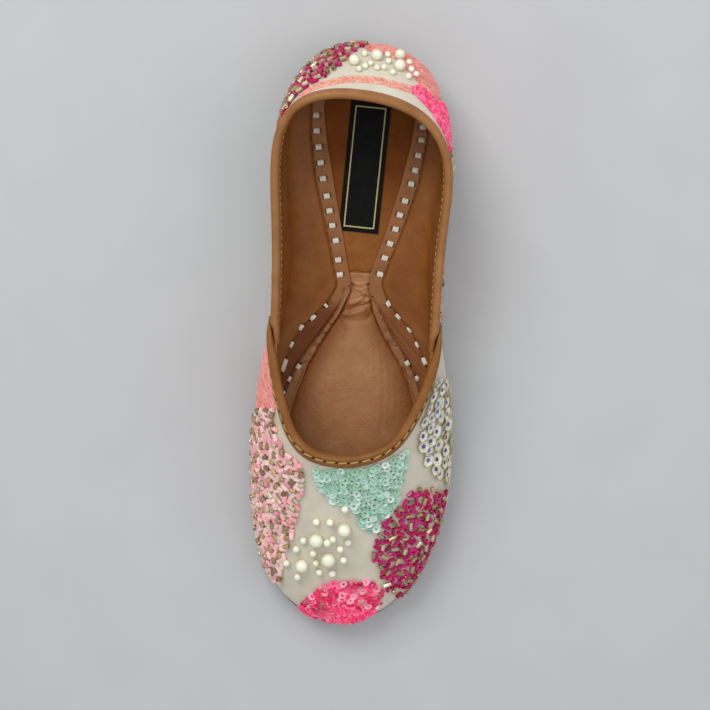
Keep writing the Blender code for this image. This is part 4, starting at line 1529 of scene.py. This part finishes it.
def lay_rope(name, places, colours, seed, aside, slant, size):
    """A band of slanting stitches in two rows along a line of rib and climb places."""
    rng = np.random.default_rng(seed)
    pitch = 0.62
    numbers = np.arange(len(places))
    share = np.linspace(0, numbers[-1], 200)
    rib, climb = (np.interp(share, numbers, row) for row in np.transpose(places))
    line = wall_sheet(rib, climb, cloth_relief(rib, climb) + 0.35 * MM)
    base = path_frames(line, wall_normal(rib, climb), pitch * MM)
    lays = []
    for side in (-1, 1):
        lay = shifted(base, ACROSS, side * aside * MM)
        lay = turned(lay, -side * slant + 0.08 * rng.standard_normal(len(base)))
        lays.append(resize(lay, size[0] * MM, size[1] * MM))
    frames = np.concatenate(lays)
    scatter(name, strand(0.5), frames, SILK, pick(rng, colours, len(frames), 0.08))


def lay_flowers(name, outline, spacing, seed, fixed=()):
    """Scaly cluster of corded flower sequins, each held by a violet bead."""
    rng = np.random.default_rng(seed)
    at = spots(outline, spacing, seed, fixed)
    count = len(at)
    across = 5.8
    frames = cloth_frames(at, 0.2, rng.uniform(0, 2 * math.pi, count))
    frames = tilted(frames, rng.normal(0, 0.16, count))
    frames = shifted(frames, OUT, rng.uniform(0, 0.9, count) * MM)
    sized = resize(frames, across * rng.uniform(0.92, 1.08, count) * MM)
    scatter(name, FLOWER, sized, PETAL, pick(rng, SILVER_CREAM, count, 0.06))
    scatter(name + "_cords", FLOWER_CORD, sized, PETAL, pick(rng, CORD, count, 0.15))
    beads = resize(shifted(frames, OUT, 0.45 * MM), 1.9 * MM, 1.9 * MM, 1.3 * MM)
    scatter(name + "_beads", SEED_BEAD, beads, GLASS, pick(rng, VIOLET, count, 0.15))


# Outlines of the ornament patches: rib and climb of each corner
ROSE_PATCH = (
    (17.74, 0.8), (17.26, 0.8), (16.78, 0.83), (16.0, 0.91), (15.64, 0.89), (15.22, 0.82), (15.26, 0.75),
    (15.16, 0.71), (15.22, 0.64), (14.98, 0.6), (15.04, 0.55), (15.0, 0.46), (14.88, 0.35), (14.9, 0.24),
    (15.3, 0.12), (16.0, 0.08), (17.0, 0.08), (17.9, 0.08), (18.05, 0.4), (17.9, 0.66),
)
CORAL_PATCH = (
    (17.75, 0.84), (17.95, 0.55), (18.02, 0.08), (18.9, 0.08), (19.25, 0.4), (19.3, 0.86), (18.3, 0.9),
)
MINT_PATCH = (
    (15.12, 0.94), (13.44, 0.96), (11.22, 0.95), (10.28, 0.94), (9.6, 0.89), (9.8, 0.86), (10.14, 0.8),
    (10.42, 0.76), (10.8, 0.73), (11.34, 0.72), (11.58, 0.68), (12.0, 0.72), (12.44, 0.8), (12.96, 0.82),
    (13.72, 0.83), (14.3, 0.85), (14.92, 0.9),
)
MAGENTA_PATCH = (
    (9.84, 0.69), (9.28, 0.48), (9.1, 0.25), (9.2, 0.08), (10.2, 0.08), (11.0, 0.08), (11.26, 0.22),
    (11.44, 0.34), (11.56, 0.43), (11.56, 0.51), (11.82, 0.56), (11.74, 0.61), (11.36, 0.67),
    (11.16, 0.71), (10.44, 0.71), (10.04, 0.72),
)
TOE_PATCH = (
    (13.42, 0.47), (13.78, 0.38), (14.0, 0.28), (14.22, 0.12), (13.8, 0.06), (13.0, 0.06), (12.2, 0.07),
    (11.74, 0.27), (11.6, 0.37), (12.12, 0.47), (12.8, 0.47),
)
TOE_KNOTS = (
    (13.3, 0.1), (13.25, 0.24), (12.9, 0.33), (12.5, 0.3), (12.15, 0.21), (12.3, 0.09), (12.9, 0.07),
)
FLOWER_PATCH = (
    (7.35, 0.86), (8.0, 0.84), (8.6, 0.88), (9.15, 0.86), (9.2, 0.7), (9.12, 0.52), (9.02, 0.28),
    (8.8, 0.1), (7.6, 0.1), (7.3, 0.4),
)
FLOWER_MIDDLES = (
    (7.9, 0.71), (7.68, 0.51), (8.36, 0.75), (8.08, 0.6), (8.94, 0.8), (8.5, 0.65), (8.26, 0.52),
    (9.0, 0.69), (8.64, 0.57), (8.56, 0.44), (8.94, 0.57), (8.88, 0.35),
)
LARGE_PEARLS = ((14.1, 0.66), (12.94, 0.73), (14.36, 0.51), (13.48, 0.59))
SMALL_PEARLS = (
    (12.98, 0.81), (14.3, 0.73), (13.68, 0.75), (14.58, 0.62), (13.42, 0.68), (12.74, 0.67), (14.72, 0.56),
    (14.1, 0.59), (13.64, 0.66), (13.06, 0.64), (13.92, 0.55), (12.9, 0.59), (14.86, 0.45), (14.4, 0.43),
    (13.74, 0.51), (13.28, 0.52),
)
HEEL_MAGENTA = (
    (23.2, 0.7), (23.9, 0.8), (24.42, 0.78), (24.94, 0.74), (25.3, 0.64), (25.5, 0.52), (25.72, 0.4),
    (25.9, 0.26), (25.6, 0.08), (24.6, 0.08), (23.7, 0.1), (23.2, 0.35),
)
HEEL_CORAL = (
    (26.02, 0.4), (26.3, 0.45), (26.64, 0.45), (27.0, 0.55), (27.38, 0.62), (27.7, 0.62), (27.96, 0.5),
    (27.8, 0.3), (27.3, 0.12), (26.6, 0.08), (26.0, 0.1),
)
HEEL_PEARLS = ((25.68, 0.61), (26.18, 0.53), (26.68, 0.43), (26.72, 0.58))
HEEL_SMALL_PEARLS = (
    (25.9, 0.5), (25.94, 0.66), (26.06, 0.62), (26.38, 0.64), (26.42, 0.46), (26.46, 0.55), (26.6, 0.67),
    (26.92, 0.46), (27.0, 0.54), (26.98, 0.64), (26.22, 0.66), (27.14, 0.56), (25.8, 0.7),
)
HEEL_LINE = (
    (24.3, 0.86), (24.74, 0.84), (25.16, 0.83), (25.54, 0.81), (25.9, 0.8), (26.26, 0.79), (26.64, 0.79),
    (26.96, 0.77), (27.2, 0.75),
)
HEEL_PINK = (
    (27.12, 0.7), (27.4, 0.64), (27.9, 0.6), (28.2, 0.4), (28.7, 0.12), (29.3, 0.1), (29.2, 0.5),
    (28.9, 0.72), (28.14, 0.83), (27.44, 0.8), (27.12, 0.78),
)
SIDE_FLOWERS_MEDIAL = (
    (3.15, 0.6), (3.3, 0.2), (3.8, 0.08), (4.5, 0.15), (4.7, 0.55), (4.3, 0.84), (3.4, 0.8),
)
SIDE_ROSE_MEDIAL = ((4.85, 0.55), (4.8, 0.1), (5.7, 0.08), (5.9, 0.5), (5.85, 0.84), (5.0, 0.84))
SIDE_MINT_LATERAL = (
    (22.95, 0.75), (23.0, 0.25), (22.5, 0.1), (21.9, 0.15), (21.8, 0.6), (22.2, 0.84),
)
SIDE_FLOWERS_LATERAL = (
    (21.6, 0.6), (21.7, 0.12), (20.6, 0.08), (20.25, 0.4), (20.3, 0.82), (21.2, 0.84),
)


def build_ornaments():
    """Patchwork of beads, pearls, sequins and threads. The patches on the hidden sides are guessed."""
    pale_beads = {"gold": 4.1, "size": (3.3, 2.1), "flat": 0.7, "look": OPAL}
    satin_stitch = {"turn": 0.35, "spacing": 0.85, "colours": CORAL}
    knots = {"turn": 0.0, "spread": 2.0, "colours": ROSE_THREAD, "look": NEON_SILK}
    mint = {"spacing": 1.7, "across": 3.6, "colours": MINT, "lean": 0.10, "rise": 0.5}
    lay_bugles("rose_bugles", ROSE_PATCH, 1.9, ROSE, 21, **pale_beads)
    lay_threads("coral_threads", CORAL_PATCH, seed=22, spread=0.25, size=(5.2, 0.8), **satin_stitch)
    lay_sequins("mint_sequins", MINT_PATCH, seed=23, **mint)
    lay_bugles("magenta_bugles", MAGENTA_PATCH, 2.35, MAGENTA, 24, gold=4.8, size=(3.6, 1.75))
    lay_sequins("toe_sequins", TOE_PATCH, 1.7, 3.4, HOT_PINK, 25, lean=0.55, rise=1.1, look=NEON_SEQUIN)
    lay_threads("toe_knots", TOE_KNOTS, 0.95, seed=37, size=(2.8, 0.85), lift=1.75, **knots)
    lay_pearls("pearls", LARGE_PEARLS, SMALL_PEARLS, 26)
    lay_flowers("flowers", FLOWER_PATCH, 3.9, 27, FLOWER_MIDDLES)
    lay_bugles("heel_bugles", HEEL_MAGENTA, 2.0, MAGENTA, 28, gold=3.1, size=(3.2, 1.7))
    lay_threads("heel_threads", HEEL_CORAL, seed=29, spread=0.22, size=(5.0, 0.8), **satin_stitch)
    lay_pearls("heel_pearls", HEEL_PEARLS, HEEL_SMALL_PEARLS, 30, sizes=(4.8, 2.6))
    lay_rope("heel_line", HEEL_LINE, PEACH, 31, aside=1.2, slant=0.5, size=(4.0, 0.85))
    lay_threads("heel_knots", HEEL_PINK, 0.85, seed=32, size=(2.4, 0.95), lift=0.5, **knots)
    lay_flowers("side_flowers", SIDE_FLOWERS_MEDIAL, 3.7, 33)
    lay_bugles("side_bugles", SIDE_ROSE_MEDIAL, 1.9, ROSE, 34, **pale_beads)
    lay_sequins("side_sequins", SIDE_MINT_LATERAL, seed=35, **mint)
    lay_flowers("outer_flowers", SIDE_FLOWERS_LATERAL, 3.7, 36)


def build_floor():
    reach = 3.0
    corners = [(-reach, -reach, 0), (reach, -reach, 0), (reach, reach, 0), (-reach, reach, 0)]
    data = bpy.data.meshes.new("floor")
    data.from_pydata(corners, [], [(0, 1, 2, 3)])
    data.materials.append(floor_look())
    floor = add_object("floor", data)


def place_camera():
    """The photo's view of this shoe, turned just enough to bring the shoe to the middle."""
    tilt, turn = math.radians(12.5), math.radians(3.3)
    eye = Vector((0.0276, 0.1830, 0.8300))
    middle = Vector((0.0, -0.003, 0.022))
    right = Vector((math.cos(turn), math.sin(turn), 0))
    ahead = Vector((-math.sin(turn), math.cos(turn), 0))
    back = ahead * math.sin(tilt) + Vector((0, 0, math.cos(tilt)))
    up = back.cross(right)
    facing = Matrix((right, up, back)).transposed()
    swing = (-back).rotation_difference((middle - eye).normalized())
    data = bpy.data.cameras.new("camera")
    data.sensor_width = 36
    data.lens = 101.2
    data.clip_end = 20
    camera = add_object("camera", data)
    camera.matrix_world = Matrix.Translation(eye) @ (swing.to_matrix() @ facing).to_4x4()
    bpy.context.scene.camera = camera


def add_light(name, place, size, power, colour):
    """A square light that shines on the shoe."""
    data = bpy.data.lights.new(name, "AREA")
    data.shape = "SQUARE"
    data.size = size
    data.energy = power
    data.color = colour
    light = add_object(name, data)
    light.location = place
    light.rotation_euler = (-Vector(place)).to_track_quat("-Z", "Y").to_euler()


def build_lights():
    add_light("key", (-0.45, 0.95, 1.05), 0.7, 10.5, (1.0, 0.99, 0.97))
    add_light("fill", (0.7, 0.35, 1.1), 1.2, 3.5, (0.97, 0.98, 1.0))
    world = bpy.data.worlds.new("studio")
    world.use_nodes = True
    background = world.node_tree.nodes["Background"]
    background.inputs["Color"].default_value = (0.96, 0.98, 1.0, 1)
    background.inputs["Strength"].default_value = 0.55
    bpy.context.scene.world = world
    bpy.context.scene.view_settings.view_transform = "Standard"


build_floor()
place_camera()
build_lights()
build_upper()
build_bindings()
build_seams()
build_flaps()
build_sock()
build_sole()
build_edge_stitches()
build_cotton_stitches()
build_label()
build_ornaments()
